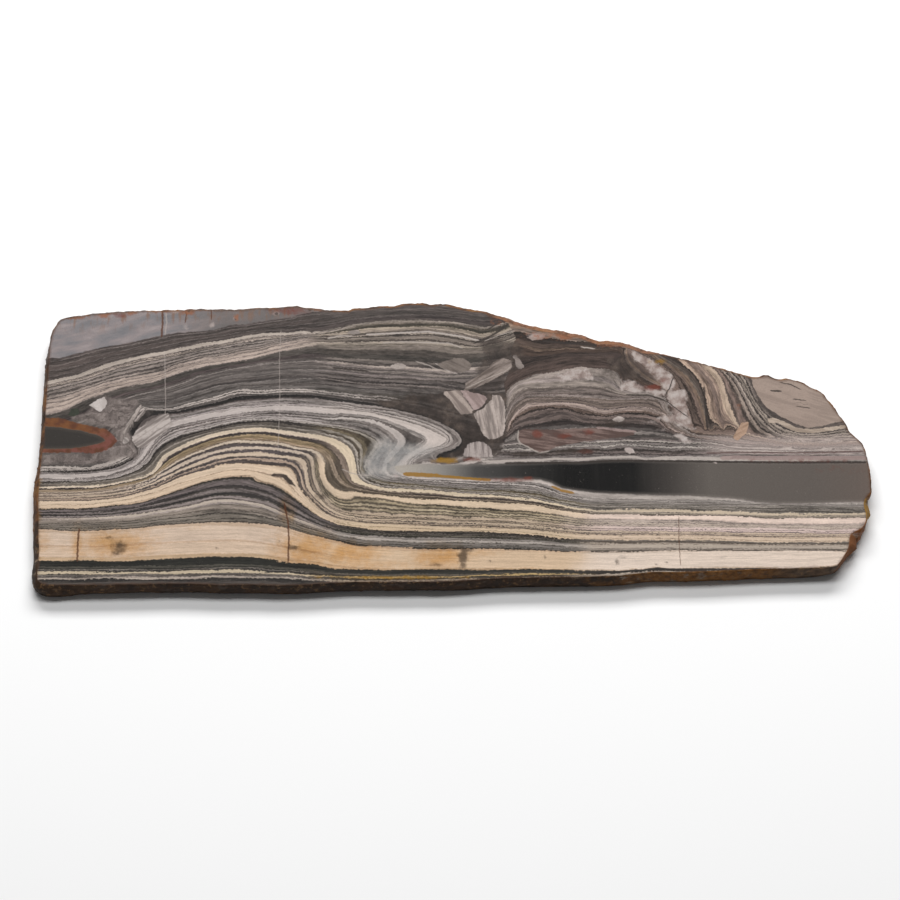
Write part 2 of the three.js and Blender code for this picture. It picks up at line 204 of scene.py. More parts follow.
# The log of the beds: the top level of each layer and its colour, in the west, the middle and the east.
WEST_LOG = """
    .55 4a4541, .85 2f2c2a, 1.15 b3a89d, 1.35 6f6862, 1.5 46423f, 1.7 7b746d, 1.85 4c4844, 2.15 cbbda4,
    2.26 3a3835, 2.32 77716a, 2.42 363530, 2.55 4c4a43, 3 282824, 3.12 c9af90, 3.45 dac4ad, 3.5 cbb29a,
    3.9 dac6b2, 4 cdb69f, 4.06 4a443e, 4.16 777067, 4.2 3f3a35, 4.4 7f786f, 4.46 46413c, 4.6 857d74,
    4.66 57504a, 4.86 8a8178, 4.93 a29893, 5.07 bdb2a6, 5.14 6a625f, 5.24 8b827f, 5.28 55504b, 5.4 343130,
    5.45 57514f, 5.55 7a7270, 5.6 47423f, 5.7 393534, 5.9 6b6362, 6 36332e, 6.08 b9a38c, 6.45 dcc7ae,
    6.52 a89480, 6.95 dfcbb3, 7 c0aa92, 7.3 554d4a, 7.55 b3a090, 7.72 4d4746, 7.8 887b72, 8.2 d0bfab,
    8.25 887b72, 8.65 564f4f, 8.72 887d77, 9.2 ccbdad, 9.28 7b706a, 9.72 554e4d, 9.8 8a7d73, 10.15 cdbfad,
    10.22 6e6155, 10.4 8a7a68, 10.5 a28f7a, 10.95 8d7c62, 11.15 9b896c, 11.25 6a5e4c, 11.6 423b38,
    11.7 8f827c, 12.2 dccdb8, 12.3 8b847a, 12.5 6c655d, 12.6 8c857d, 12.85 5a544e, 13.1 2f2b29,
    13.25 948d88, 13.4 bdb6b2, 13.5 726b68, 13.75 aaa3a0, 13.85 534d4b, 14 918a86, 14.1 bab2ae,
    14.3 5e5755, 14.45 98918e, 14.6 797370, 15.35 c4bcb8, 15.5 918a87, 15.65 aca5a3, 15.75 756e6b,
    16 938c89, 16.1 595351, 16.35 86807d, 16.5 706966, 16.7 524b49, 17.2 242120, 17.3 6d6764, 17.5 4a4543,
    17.7 6a6461, 17.9 c0b8b2, 18.05 55504d, 18.28 b9b1ab, 18.45 54504d, 18.8 6a6562, 19.2 524d4a,
    19.6 65605d, 19.7 7d7774, 20.1 4a4543, 20.5 5f5956, 21 6f6966, 21.2 57524f, 21.9 625c59, 22.1 88817d,
    22.5 5a5451, 23 514847, 23.2 494440, 24 514c48, 24.15 8d827c, 24.4 b5a79d, 24.5 8a7f79, 24.75 b1a399,
    24.85 7b716c, 25.1 a89b92, 25.2 5d5653, 25.35 90867f, 25.5 57504d, 25.7 8a817b, 25.8 4f4946,
    26 8f8680, 26.15 5a5350, 26.3 a3988f, 26.4 625b57, 26.5 a99d92, 26.62 57504d, 26.75 857c77,
    27.3 b9afa5, 27.45 5f5754, 27.7 4d4643, 27.8 645c59, 28.3 4b4441, 28.4 6a625f, 28.9 4f4744,
    29.1 625a57, 29.6 4a4340, 29.75 6b6360, 30 544c4a, 36 6a615f"""
MIDDLE_LOG = """
    .5 3e3833, .85 57504a, 1.15 9d8f7c, 1.4 4e463c, 1.85 3f3a33, 2.15 b39b6d, 2.3 4b443a, 2.45 5d574e,
    3 31302b, 3.1 c4a786, 3.9 dcc3a5, 4 c3a98e, 4.12 33312d, 4.3 6c6762, 4.4 4c4843, 4.62 7c7772,
    4.7 544e48, 4.78 8a847e, 5 b4ada6, 5.08 77716c, 5.25 8f8983, 5.32 4a4642, 5.42 312f28, 5.5 676259, 5.6 2f2c26, 5.68 5d5751, 5.8 2b2825,
    5.86 5a534b, 6 2d2824, 6.25 d2bda1, 6.35 a19077, 6.8 d5c1a6, 6.86 6c6155, 7 b8a58e, 7.25 5b5249,
    7.5 b5a490, 7.7 5a514a, 8.15 c3b29c, 8.35 5f564d, 8.6 ab9b87, 8.8 574e46, 9.1 bcab96, 9.15 5e564b,
    9.2 a99c84, 9.25 62594d, 9.31 b5a88f, 9.36 5f574b, 9.42 a5987f, 9.47 574f44, 9.5 7f7563, 9.55 cdb9a0,
    9.95 decab0, 10 b9a68e, 10.5 574e43, 10.8 8f8172, 11.3 4a423a, 11.7 7d7065, 12.25 dacbb2,
    12.38 6d665f, 12.48 a8a198, 12.6 574f45, 12.72 9a9388, 12.84 6a6150, 12.96 4a4237, 13.06 938d84, 13.16 57514b,
    13.26 8f8984, 13.35 8a8480, 13.5 625c59,
    13.7 8d8783, 13.8 5d5754, 13.92 7d7773, 14.1 c0b9b4, 14.25 5e5855, 14.6 928c88, 15.3 ccc3bd,
    15.55 918a85, 15.8 bab2ad, 15.95 77706d, 16.2 a9a29d, 16.4 6d6663, 16.7 8d8682, 17.15 2b2827,
    17.4 5d5754, 17.6 423e3c, 17.75 6d6764, 17.9 a29b96, 18.05 4a4643, 18.25 a39c97, 18.6 514d49,
    19 645f5c, 19.15 45413f, 19.5 645e5b, 19.7 514b48, 19.85 79716d, 20.1 3f3a38, 20.4 68615e,
    20.6 4b4542, 20.9 766e6b, 21.1 554f4d, 21.4 7d7570, 21.6 57514e, 21.85 847b77, 22.1 ada29a,
    22.3 544e4b, 22.6 6d6661, 23.1 433f3b, 23.6 524c47, 24 726a63, 24.25 8a8177, 24.45 a2988c,
    24.6 4f4843, 24.9 7d746c, 25.1 443e3a, 25.25 9d9388, 25.4 3e3734, 25.65 756c64, 25.8 a5998d,
    26.1 a09587, 26.2 524b40, 26.5 3e3a33, 26.7 564f46, 26.85 7b726a, 27.15 948b82, 27.4 4d4643,
    28 463f3d, 28.2 5d5653, 29 4a4441, 30 5a5350, 36 6a625e"""
EAST_LOG = """
    .6 4a4036, .85 2f2a26, 1.2 cbbfae, 1.5 857c70, 2 b9ae9f, 2.4 2f2c2a, 2.8 3b3734, 3 57514b, 3.12 d1bda7,
    3.9 e8d9ca, 4 cfbfaf, 4.25 5a534c, 4.5 a1978c, 4.62 6c645c, 5.3 bbb0a3, 5.4 8a8076, 5.5 b5a99a,
    5.58 6d655c, 5.8 5d554d, 5.92 77706a, 6 8a8074, 6.2 d8c4ad, 6.3 a08e7d, 6.8 dcc8b2, 6.86 86786c,
    7 c5b29d, 7.3 736861, 7.6 c5b4a1, 7.75 85796f, 8.2 cfbda9, 8.4 817575, 8.7 dac6be, 8.85 8e817f,
    9.1 dfccc4, 9.14 9a8f87, 9.2 cabcaf, 9.24 a0948c, 9.3 d2c4b5, 9.34 a0948d, 9.4 c4b6ab, 9.44 948a82,
    9.5 b3a79e, 9.55 d5c1b5, 9.95 ebd8cb, 10 cdbaae, 10.6 6a625a, 11.2 a79c8e, 11.5 7a7269, 12.3 d0c1ab,
    12.4 7d7770, 12.55 5f5a54, 12.7 837d76, 12.82 625d57, 12.95 8b857e, 13.05 6d6862, 13.3 8d8781,
    13.45 736d68, 13.7 938d88, 13.85 78726d, 14.1 9b9590, 14.4 8a8580, 15.3 b5aea8, 36 8a837f"""
DOME_LOG = """
    .5 8a8481, .9 6a6361, 1.1 3e3937, 1.35 6b625f, 1.6 443e3b, 1.9 78716e, 2.1 afa9a3, 2.2 494340,
    2.6 7a7471, 2.8 4a4542, 3.05 a7a09a, 3.3 6d6462, 3.7 534e4b, 4.1 88817d, 4.4 4f4a48, 4.8 3b3432,
    5.2 655a56, 5.5 524946, 5.9 756863, 6.15 352e2b, 6.5 6a5b53, 6.75 9c8c85, 7.2 a4958d, 7.35 5b5150,
    7.9 756962, 8.2 5d534e, 8.5 7c7069, 8.8 675c56, 9.15 897f7a, 9.3 665c58, 9.55 7c726d, 9.75 69605b,
    10.2 8d847d, 10.5 998f8b, 11 908781, 11.2 524641, 12 4d413c, 12.6 423834, 13.05 483b34, 13.2 64554a,
    13.6 4e423b, 13.9 3f342f, 14.1 29231f, 14.6 84756b, 15.2 947f6e, 19.8 7a6a62, 20.1 403631,
    20.5 5f524b, 20.7 3b322e, 21 6a5b53, 21.4 776659, 21.7 5f564f, 21.95 4c433e, 22.15 332c28,
    22.5 b49f8e, 22.8 8c796d, 23.2 7e6e66, 23.6 9b887b, 23.8 b9a693, 24.15 b8a694, 24.3 625751,
    24.6 827169, 24.8 534a45, 25 96897f, 25.15 403a37, 25.4 7f756e, 25.6 a59a90, 25.75 47403e,
    26 8e847b, 26.15 4d4743, 26.4 988e84, 26.6 453f3d, 26.9 847a73, 27.1 5d5551, 27.6 cfc4b6, 30 b3a698"""

# Areas with a look of their own, each a closed outline.
CHERT = """-155,33 -144.5,34.6 -141,34.6 -136,36.3 -132,37.5 -124,39.8 -120,40.3 -112,42.2 -108,43.4 -100,45.3
    -92,45.9 -86,46.6 -80,48.6 -74,49 -70,50 -64,51.2 -58,52.3 -54,53.6 -50,54.3 -44,54.8 -42,58 -42,70
    -155,70"""
LEFT_LENS = """-155,5.6 -145,5.9 -140,5.6 -136,4.7 -132,4.2 -129,3.1 -126,2.3 -124,1.2 -123.3,0 -125,-1.1 -128,-2
    -132,-2.8 -136,-3.4 -155,-3.6"""
LEFT_RIM = """-155,9 -144,9.4 -140,9.6 -136,8.1 -132,6.9 -128,5.8 -124,5 -122,3.9 -120.4,2 -119,0.3 -119.2,-0.7
    -120.4,-2.3 -122.4,-3.9 -125,-5 -128,-5.4 -132,-4.9 -136,-5.1 -155,-5.4"""
RIGHT_LENS = """-20,-10.5 -12,-9.6 -4,-9.9 4,-9.8 12,-9.6 20,-9.3 32,-9 38,-8.6 46,-8.9 54,-8.2 60,-8 66,-8
    76,-8.2 84,-8.2 96,-8.4 104,-8.6 126,-8.6 155,-8.6 155,-25.2 140,-25.3 126,-25.9 116,-25.9 108,-25.3
    104,-24.3 100,-23.8 92,-23.3 84,-22.7 76,-22.6 60,-22 52,-21.6 44,-20.5 40,-19.8 38,-18.8 36,-17.5
    32,-16.3 28,-16 16,-16 8,-16 0,-15.8 -8,-15.3 -15,-14.8 -19,-12.6"""
NORTH_EAST = """15,-7.4 19,-3 20,2 20,8 20.3,15 20,20 19.5,24 21,28 22.5,33 22,38 24,43 22,48 16,56 14,75
    165,75 165,-7.4"""
CLOUD = """-31,-15 -31.4,-9 -29,-4 -26,0 -22,1.5 -19,0 -14,-1 -8,-2 -3,-3 -8,-6 -14,-8.5 -16,-11 -17,-14.6
    -24,-16"""
MATRIX = """-12,19.5 -6,19.6 -3,20.6 4,21.5 10,21.5 14,20 18,19.5 20.5,20 20.5,4 19.5,-1 16,-7.2 -3,-7.4 0,-5
    3.2,-3.4 4,0.4 2,4 -3,7 -9,9.6 -15,11.6 -22,13.4 -28,15.4 -20,17.4"""
TOP_SHADE = """8,21.5 8,24 11,27 9,30 13,36 10,41 16,44 20,42 24,41 27,39 24,30 21,28 20,24 18,21.5 12,20.5"""

SWIRL = """-136,10.2 -132,11 -129,13 -128.4,15.5 -124,19.4 -121,17.6 -116,17.8 -112.4,17.2 -111.6,15.4 -114,11
    -115.6,7 -114.5,3 -113.2,0 -112,-3 -110.6,-5.4 -112.4,-7.6 -115.5,-6.8 -120,-8.6 -128,-10 -155,-10.4
    -155,-6 -136,-5.6 -126,-4 -121,-1 -119.8,2.2 -121.5,4.6 -124.5,5.8 -128,6.6 -132,7.8 -136,9"""

# Milky patches in the north-east.
MILKY = (
    "66,37.8 70,36.4 74,33 78,29.6 81.2,26 81,22 78,20.6 75.8,24 74,27 71.4,29.6 68.8,32.2 66.4,34.8",
    """78.6,20.8 84.4,21 85.6,18 85.2,11 86.4,8 87,5 84,5.2 81,7 77,8 74.5,9 77,10.2 79.6,11 78.8,15
        77.6,18""",
    "61,20.6 62,24.3 65,25.4 69,24 72,22 78,21 77.6,18.6 74,18.6 70,20.3 66,20.2 63,20.6",
    "34,26.2 40.5,28 43,29.6 48,30.1 50.6,29.5 51.6,28 51.8,25.6 46,25 40,25.2",
    "24.9,3.4 27.5,3 30,1.6 32,-1 32,-4.4 28,-2.6 25.6,-1 24.9,1",
    "80,2 82.6,3 85,0.6 88,-0.6 84,-0.8 81.6,0.8",
)

DUSK_EAST = """63,36.6 66,36.6 68,33.6 71,30 74,26.6 74.6,24.4 70,25.4 66,26.4 62.6,26 61.4,28 58,31 57,34"""

# Blocks and fragments: group, light and dark colour, pitch and direction of their stripes, outline.
FRAGMENTS = (
    ("a", "b3a79f", "857a74", 1.5, 35, "-2.3,20.5 3.5,21 8.3,12.8 8,11.2 4,10.7 2,13.5 0,17 -2.3,19"),
    ("b", "b3a29f", "93837f", 3.0, 35, "3.7,20.8 6,21 8,20 12,19 13.5,17.5 11.5,14 9,12.5 8.3,13"),
    ("a", "c2b7b0", "887f7a", 1.9, 8, """8.3,11 10,12.5 12,13.5 13.8,15.8 15,17 15.3,19 18.3,18.8 19.5,16 20,12
        19.8,6 19,2 16.5,0.8 14,0.5 12,2.3 10.5,6 9,9.5"""),
    ("b", "b5aca8", "857c79", 1.5, 5, "4.5,-6.6 5.2,-4 6.4,-1.6 8.5,-0.5 11.5,-0.5 14.3,-2.5 15.5,-6.8 9,-7"),
    ("a", "84716b", "5c4b46", 1.8, 82, """24.5,3.8 24.3,0.5 25,-1 27.5,-2.3 30,-4 32,-5 35,-4.3 38,-2.6
        44,-1.2 52,0.2 60,1.2 66,2.2 66,4 60,4.5 52,5.2 44,5 36,4.5 30,4.8 27,4.8"""),
    ("a", "9a8f88", "665c56", 1.9, 125, """5,20.8 9,21.8 15,25 21,29 22.6,31 22,33.6 19,34.6 15.6,33 14,30.6 10,27
        5.6,24"""),
    ("a", "837a73", "665d58", 2.5, 60, "-4.7,32 -1,33.5 2,34.7 5,34.5 7,33 7.8,31 6.5,29 3,28.3 0,29 -3,30.3"),
    ("b", "948b86", "6f6763", 2.0, 60, "22.5,35.5 24,36 26,33 27,30.5 25,29.7 24,31 23.5,33.5"),
    ("a", "ab9b90", "9c8d83", 2.2, 70, """108.5,27.4 109.5,22 111,18.5 113.5,14 118,10.5 124,6.7 128.5,5.2
        133,6 140.5,8 150,10 150,34 106,34"""),
    ("b", "c3b5a6", "a19385", 1.2, 75, """114.5,7 117,7.5 121,5 124,3.5 130,3 136,4 143,5.4 143,6.8 136,5.6
        130,4.8 124,5.3 120,7.9 116,9.6 113.8,9"""),
    ("b", "bb9f8a", "a08670", 1.6, 120, "101,1 104.5,7.5 107.5,8 106,3 103,0"),
    ("b", "cdc5bf", "b3a9a3", 2.0, 20, "57.6,8.3 60,10 61,10.2 63.3,9.2 62,8 60.2,7.7"),
    ("a", "cdc5c0", "b3a9a3", 2.0, 20, "62.2,-3.3 64,-2.7 65.6,-3.8 66.1,-5.1 64,-5.4 62.8,-4.6"),
    ("a", "cfc9c6", "b9b2ae", 4.0, 20, "-129.8,14.6 -127,17 -124.3,18.3 -123.4,16 -124,13.6 -125.6,11.8 -127.5,13"),
    ("a", "b9b0aa", "6f6864", 1.6, -22, """-117.6,2.8 -115.8,6 -114.4,9.4 -112.8,12.6 -111.6,14.9 -110.4,14.6 -111.6,12
        -113.4,8.5 -114.4,5.6 -115.4,3.6 -116.6,2.4"""),
    ("b", "bab1ac", "7d7672", 1.5, -30, "-113.5,8 -111,11.5 -109.3,13.8 -108.5,13.2 -110,11 -112,7.8"),
    ("b", "bcb5b0", "8f8884", 1.5, 50, "-117.4,-0.8 -116.6,1.6 -115.2,1.4 -114.6,-0.4 -115.6,-1.6"),
    ("b", "c6beb9", "857d79", 1.4, 128, """-113.8,1.6 -112,4.6 -108.5,7.6 -105,10 -101.4,11.7 -100.2,9 -99.6,6.8
        -101,4.6 -104,1.6 -107,-0.8 -109.6,-3.4 -112.4,-2.4 -113.4,-0.6"""),
    ("a", "4a4441", "302c2a", 3.0, 30, """-114,5 -113,8.5 -111.4,10.6 -109,12 -106.6,12.4 -107.6,10.4 -110.6,8.2
        -113.4,5"""),
    ("a", "5b4f47", "3f3732", 3.0, 30, """-64.5,-14.2 -62,-13.6 -60,-13.6 -58,-14.3 -56.8,-15.8 -55.2,-18
        -54.6,-19 -56,-18.4 -57.5,-17.6 -58.3,-16.6 -59.2,-15.6 -60.5,-14.9 -62.5,-14.8"""),
    ("b", "3d4238", "33362f", 3.0, 10, "-137.4,10.4 -136,13.2 -133.6,13.4 -133,11.2 -135,9.9"),
    ("a", "b9b0aa", "8f8782", 2.0, 60, "-37.6,45 -36,46.3 -33,46.4 -32.6,45.2 -35,44.6"),
    ("a", "b3aaa4", "8f8782", 2.0, 80, "-22.5,31 -19,32.6 -15.6,31.6 -16.4,30.2 -20,29.8"),
    ("b", "a99a92", "8d7f79", 3.0, 80, "27.6,43.4 31,45.2 35.2,44.8 34,42.6 30,42.2"),
)

# Thin lines: group, half its width, points.
LINES = (
    ("pale", 0.45, "12,-8.7 20,-8.4 32,-8 38,-7.5 46,-7.8 54,-7 60,-6.8 66,-6.7 70,-7.9 76,-7 84,-6.9 96,-7.3 100,-6.8"),
    ("pale", 0.22, "5.5,21.3 11,23.5 14,25 17,28 19.5,30 21.5,32"),
    ("pale2", 0.18, "6.5,22.3 13,25.7 20,29 21.5,30.5"),
    ("pale", 0.24, "-4.7,32 -1,29.4 2,28.2"),
    ("dark", 0.35, "9,41 13,42.8 17,45.4 21,48.8"),
    ("pale2", 0.16, "13,42 18,44.4 23,46"),
    ("dark", 0.25, "14,47 18,49.6 22,50.6"),
    ("dark", 0.2, "119.6,24.2 123,23.4 126,21.6"),
    ("dark", 0.18, "124,17.2 127.6,16.7"),
    ("dark", 0.18, "125,14.2 129,13.5"),
    ("pale2", 0.2, "-12,33 -8,31.6 -4,29.5"),
    ("pale2", 0.3, "24.5,3.6 24.2,0.6 25,-1.1 27.5,-2.4 30,-4.1 32,-5.1 35,-4.4"),
    ("pale", 0.25, "48,39.2 52,38.6"),
    ("pale2", 0.35, "-44,43 -40,44.1 -36,43.9"),
    ("pale", 0.35, "-30,44.6 -18,45.3 -8,45.8 -4,45.2 0,44.5 4,43.8 10,42.2"),
    ("pale2", 0.3, "-24,41 -18,41.5 -8,41.2 0,40.8 4,39"),
    ("gold", 0.85, "-16,-13.7 -12,-14 -8,-14.2 -4,-14.5"),
    ("gold", 0.55, "-6,-14.4 0,-14.9 6,-15.5 10,-15.9 14,-16.2"),
    ("gold", 0.5, "36.5,-19 40,-20.6 43.5,-21.4"),
    ("maroon", 0.32, "92,-5.2 104,-4.8 116,-5 126,-5 136,-4.8 147,-4.4"),
    ("pink", 0.85, "97,-7.2 104,-7 112,-7.3 124,-7 136,-7.2 149,-7.1"),
    ("pink", 0.5, "53,5.3 57,4.9 60,4.3 66,3.8"),
    ("pale2", 0.22, "-38,-12 -36,-13 -33,-14 -29,-14.3"),
    ("dark", 0.22, "78,20 79.2,22 80.6,26"),
    ("dark", 0.2, "78,16.4 82,12.6 85,10.2"),
    ("dark", 0.35, "91.6,22 91.8,14 92.2,5"),
    ("dark", 0.35, "34,41.8 42,41 50,40.2 53,39.8"),
    ("dark", 0.3, "64,19.1 72,18.8 77,16.8"),
    ("dark", 0.4, "-42,30.5 -30,29"),
    ("dark", 0.25, "-12,-22 4,-23.4 20,-24.2 28,-25.2 40,-27.2"),
    ("dark", 0.45, "20,-9.3 46,-9 60,-8.2 76,-8.4 100,-8.8 120,-9 148,-8.9"),
    ("dark", 0.35, "116,20.8 119,20.6"),
    ("dark", 0.3, "136.2,24 137.4,21 137.6,18.6"),
    ("crack", 0.35, "-130.8,-36.5 -131,-42 -130.8,-48.5"),
    ("crack", 0.3, "-58.6,-26 -57.2,-33 -56.7,-40 -56.8,-49"),
    ("crack", 0.35, "-104.9,44 -104.7,50 -105,56"),
    ("crack", 0.13, "80.8,-31.5 80.6,-40 80.8,-50"),
    ("crack", 0.2, "-87,51.5 -87.2,56"),
    ("crack", 0.22, "-96.5,50 -96.2,53 -96.6,56"),
    ("white", 0.3, "-103.6,45 -103.2,50 -103.8,55"),
    ("white", 0.16, "-102.2,11 -102.4,18 -102.9,27 -103.4,36"),
    ("white", 0.12, "-61.4,-4 -61.2,14 -61.8,34 -61.5,46"),
)

# Stains and smudges: kind, middle, half width along and across, strength.
STAINS = (
    ("gold", -118, -42, 15, 6.5, 0.95), ("gold", -131, -42, 3, 8, 0.8), ("gold", -146, -42, 6, 8, 0.6), ("gold", -58, -28, 3, 7, 0.8), ("gold", -50, -44, 13, 8, 1),
    ("gold", -36, -46, 14, 6, 0.85), ("gold", -56, -30, 2, 5, 0.8), ("gold", -3, -47, 11, 5.5, 0.95),
    ("gold", 8, -45.5, 12, 2, 0.5), ("gold", -30, -50, 18, 2.4, 0.6), ("gold", -88, -36, 8, 1.6, 0.25),
    ("yellow", -1.8, -8.1, 4.8, 1.3, 1.2),
    ("yellow", -20, -55.4, 26, 0.8, 0.8),
    ("yellow", -147, -32, 2.5, 3, 0.9), ("yellow", -146.5, -17, 2, 3, 0.6), ("yellow", 76, 33, 5, 1.6, 0.5),
    ("red", 20, -16.1, 9, 0.9, 1.1), ("red", 27.5, -15.6, 1.6, 0.8, 1.4), ("red", 7.5, -7.8, 4, 0.9, 0.9),
    ("red", 31.5, 2.6, 2.2, 1.6, 1.2), ("red", 41, 2, 3.4, 1.3, 1.1), ("red", 50, 3.5, 2.4, 1.2, 1.2),
    ("red", 48, -4.4, 3.2, 0.9, 1.3), ("red", 73.5, 22.2, 2.6, 1.3, 1.4), ("red", 77, 25, 3, 2, 0.5),
    ("red", 124, -8.2, 20, 0.9, 0.6), ("red", 109, -7.9, 2.4, 0.7, 0.8), ("red", 138, -12, 11, 2.4, 0.35),
    ("red", -58, 55, 8, 2, 1), ("red", -120, 53, 3, 1.4, 0.9), ("red", 103.5, 13.5, 1.6, 3, 0.5),
    ("orange", -126.5, 53, 3, 1.4, 1), ("orange", -116.5, 53.8, 2.4, 1.4, 1), ("orange", -106, 54.8, 5, 1.1, 0.9),
    ("orange", -96, 54.8, 3, 2, 0.9), ("orange", -48, 55.4, 3, 1.2, 0.8), ("orange", -78, 51.4, 1.4, 2, 0.8),
    ("orange", -138, 52, 9, 0.9, 0.9), ("orange", 46, 44, 20, 2, 0.8), ("orange", 62, 40.6, 10, 1.8, 0.8),
    ("orange", 24, 50, 9, 1.6, 0.7), ("orange", 103.6, 13.8, 1, 2.2, 0.7), ("orange", -90, 55, 5, 0.8, 0.6),
    ("smudge", 4.6, -47.6, 1.9, 5, 1.15), ("smudge", 6.4, -44.6, 3.4, 1.2, 0.7), ("smudge", -116, -43.2, 3, 3.2, 0.85), ("smudge", -117, -46, 2.4, 1.4, 0.8),
    ("smudge", -55, -43.5, 2, 1.6, 0.9), ("smudge", -119, -39.5, 4, 1, 0.5), ("smudge", 60.5, -47.5, 1.4, 0.8, 0.8),
    ("smudge", 58.6, -49.2, 0.8, 1.2, 0.8),
    ("smudge", 72.3, -50.2, 0.7, 0.5, 0.8), ("smudge", 76, -49.6, 0.6, 0.4, 0.7), ("smudge", 33.4, -47, 0.6, 1, 0.8),
    ("smudge", 60.3, -39, 0.9, 0.4, 0.8), ("smudge", 14, -49, 0.6, 0.4, 0.8), ("smudge", 95.5, -47.2, 2.2, 0.4, 0.6),
    ("smudge", -82, -43.8, 0.6, 0.5, 0.8), ("smudge", -60, -41, 0.6, 0.5, 0.8), ("smudge", -4, -50.4, 4, 0.9, 0.6), ("smudge", -46, -22.6, 3, 1.6, 0.7),
    ("smudge", 44, -4.2, 9, 1.3, 1), ("smudge", 58, 7, 9, 2, 0.8), ("smudge", 28, -5.6, 9, 1.2, 0.9),
    ("white", 63.9, -3.9, 1.7, 1.1, 1.3), ("white", 31.4, 44, 4, 1.1, 0.9), ("white", 60.3, 8.9, 2.6, 1, 0.7),
    ("white", -100.5, 54.8, 2.6, 0.9, 1.1), ("white", -118, 54.8, 1.6, 1, 1), ("white", -109, 54.2, 1.2, 1, 0.9),
    ("white", -95.5, 55, 1.4, 1, 0.9), ("white", -78.5, 51.2, 1.2, 1, 0.9), ("white", -63.2, 53.6, 1.3, 1, 0.9),
    ("white", -86.6, 48.6, 1, 1.4, 0.7), ("white", -96.2, 47.8, 1.4, 1.8, 0.7), ("white", 94.5, -9.2, 0.5, 0.4, 1.2),
    ("white", -19, -14.6, 1, 0.6, 1.1), ("white", 72, 7.6, 4, 1.2, 0.45), ("white", 76, 4.4, 5, 1, 0.45),
    ("smudge", -118, 54.7, 0.7, 0.5, 1.3), ("smudge", -109, 54, 0.6, 0.5, 1.2), ("smudge", -95.5, 55, 0.6, 0.6, 1.2),
    ("smudge", -78.5, 51, 0.6, 0.6, 1.2), ("smudge", -63.2, 53.5, 0.7, 0.7, 1.3), ("smudge", -51.2, 55.2, 0.7, 0.7, 1.3),
    ("smudge", 18, -3.5, 1.4, 1.3, 1), ("smudge", -20, 18, 14, 3, 0.6), ("smudge", 58, 28, 6, 2.6, 0.6),
)


def linear(code, alpha=1.0):
    """The linear colour of six hexadecimal digits."""
    parts = [int(code[k : k + 2], 16) / 255 for k in (0, 2, 4)]
    return tuple(v / 12.92 if v <= 0.04045 else ((v + 0.055) / 1.055) ** 2.4 for v in parts) + (alpha,)


def points_of(text):
    """The points of one stroke or outline, as an array with a row for each."""
    return np.array([[float(v) for v in point.split(",")] for point in text.split()])


def along(points, step):
    """Points spaced evenly along a stroke."""
    reach = np.concatenate([[0.0], np.cumsum(np.hypot(*np.diff(points, axis=0).T))])
    at = np.linspace(0, reach[-1], max(2, int(reach[-1] / step)))
    return np.stack([np.interp(at, reach, points[:, k]) for k in (0, 1)], axis=1)


def cells_and_shares(points, step, columns, rows):
    """For each point, the four nodes of the field round it and the share of each."""
    place = (points - FIELD_LOW) / step
    column = np.clip(np.floor(place[:, 0]).astype(int), 0, columns - 2)
    row = np.clip(np.floor(place[:, 1]).astype(int), 0, rows - 2)
    u = place[:, 0] - column
    v = place[:, 1] - row
    first = row * columns + column
    cells = np.stack([first, first + 1, first + columns, first + columns + 1], axis=1)
    shares = np.stack([(1 - u) * (1 - v), u * (1 - v), (1 - u) * v, u * v], axis=1)
    return cells, shares


def read_field(field, step, points):
    """The field's values at points."""
    cells, shares = cells_and_shares(points, step, field.shape[1], field.shape[0])
    return (field.ravel()[cells] * shares).sum(1)


def relax(field, cells, shares, levels):
    """Smooths a field by conjugate gradients while it holds the levels of its strokes."""

    def pull(values):
        out = np.zeros_like(values)
        across = np.diff(values, axis=1)
        out[:, 1:] += across
        out[:, :-1] -= across
        up = np.diff(values, axis=0)
        out[1:] += up
        out[:-1] -= up
        held = (values.ravel()[cells] * shares).sum(1)
        return out + HOLD * spread(held)

    def spread(held):
        return np.bincount(cells.ravel(), (shares * held[:, None]).ravel(), minlength=field.size).reshape(field.shape)

    rest = HOLD * spread(levels) - pull(field)
    way = rest.copy()
    energy = (rest * rest).sum()
    for _ in range(FILL_ROUNDS):
        pulled = pull(way)
        length = energy / max((way * pulled).sum(), 1e-30)
        field = field + length * way
        rest = rest - length * pulled
        fresh = (rest * rest).sum()
        way = rest + (fresh / max(energy, 1e-30)) * way
        energy = fresh
    return field


def fill(beds):
    """The smooth field of levels that passes through every traced bed, at the finest step."""
    strokes = [(level, along(points_of(part), STROKE_STEP)) for level, text in beds.items() for part in text.split("/")]
    samples = np.concatenate([points for _, points in strokes])
    levels = np.concatenate([np.full(len(points), float(level)) for level, points in strokes])
    field = None
    for step in FIELD_STEPS:
        columns = int(round((FIELD_HIGH[0] - FIELD_LOW[0]) / step)) + 1
        rows = int(round((FIELD_HIGH[1] - FIELD_LOW[1]) / step)) + 1
        if field is None:
            start = np.full((rows, columns), levels.mean())
        else:
            across, up = np.meshgrid(FIELD_LOW[0] + step * np.arange(columns), FIELD_LOW[1] + step * np.arange(rows))
            nodes = np.stack([across.ravel(), up.ravel()], axis=1)
            start = read_field(field, coarse, nodes).reshape(rows, columns)
        field = relax(start, *cells_and_shares(samples, step, columns, rows), levels)
        coarse = step
    return field


def steepness(field):
    """How many levels a field climbs in a millimetre."""
    up, across = np.gradient(field, FIELD_STEPS[-1])
    return np.hypot(up, across)


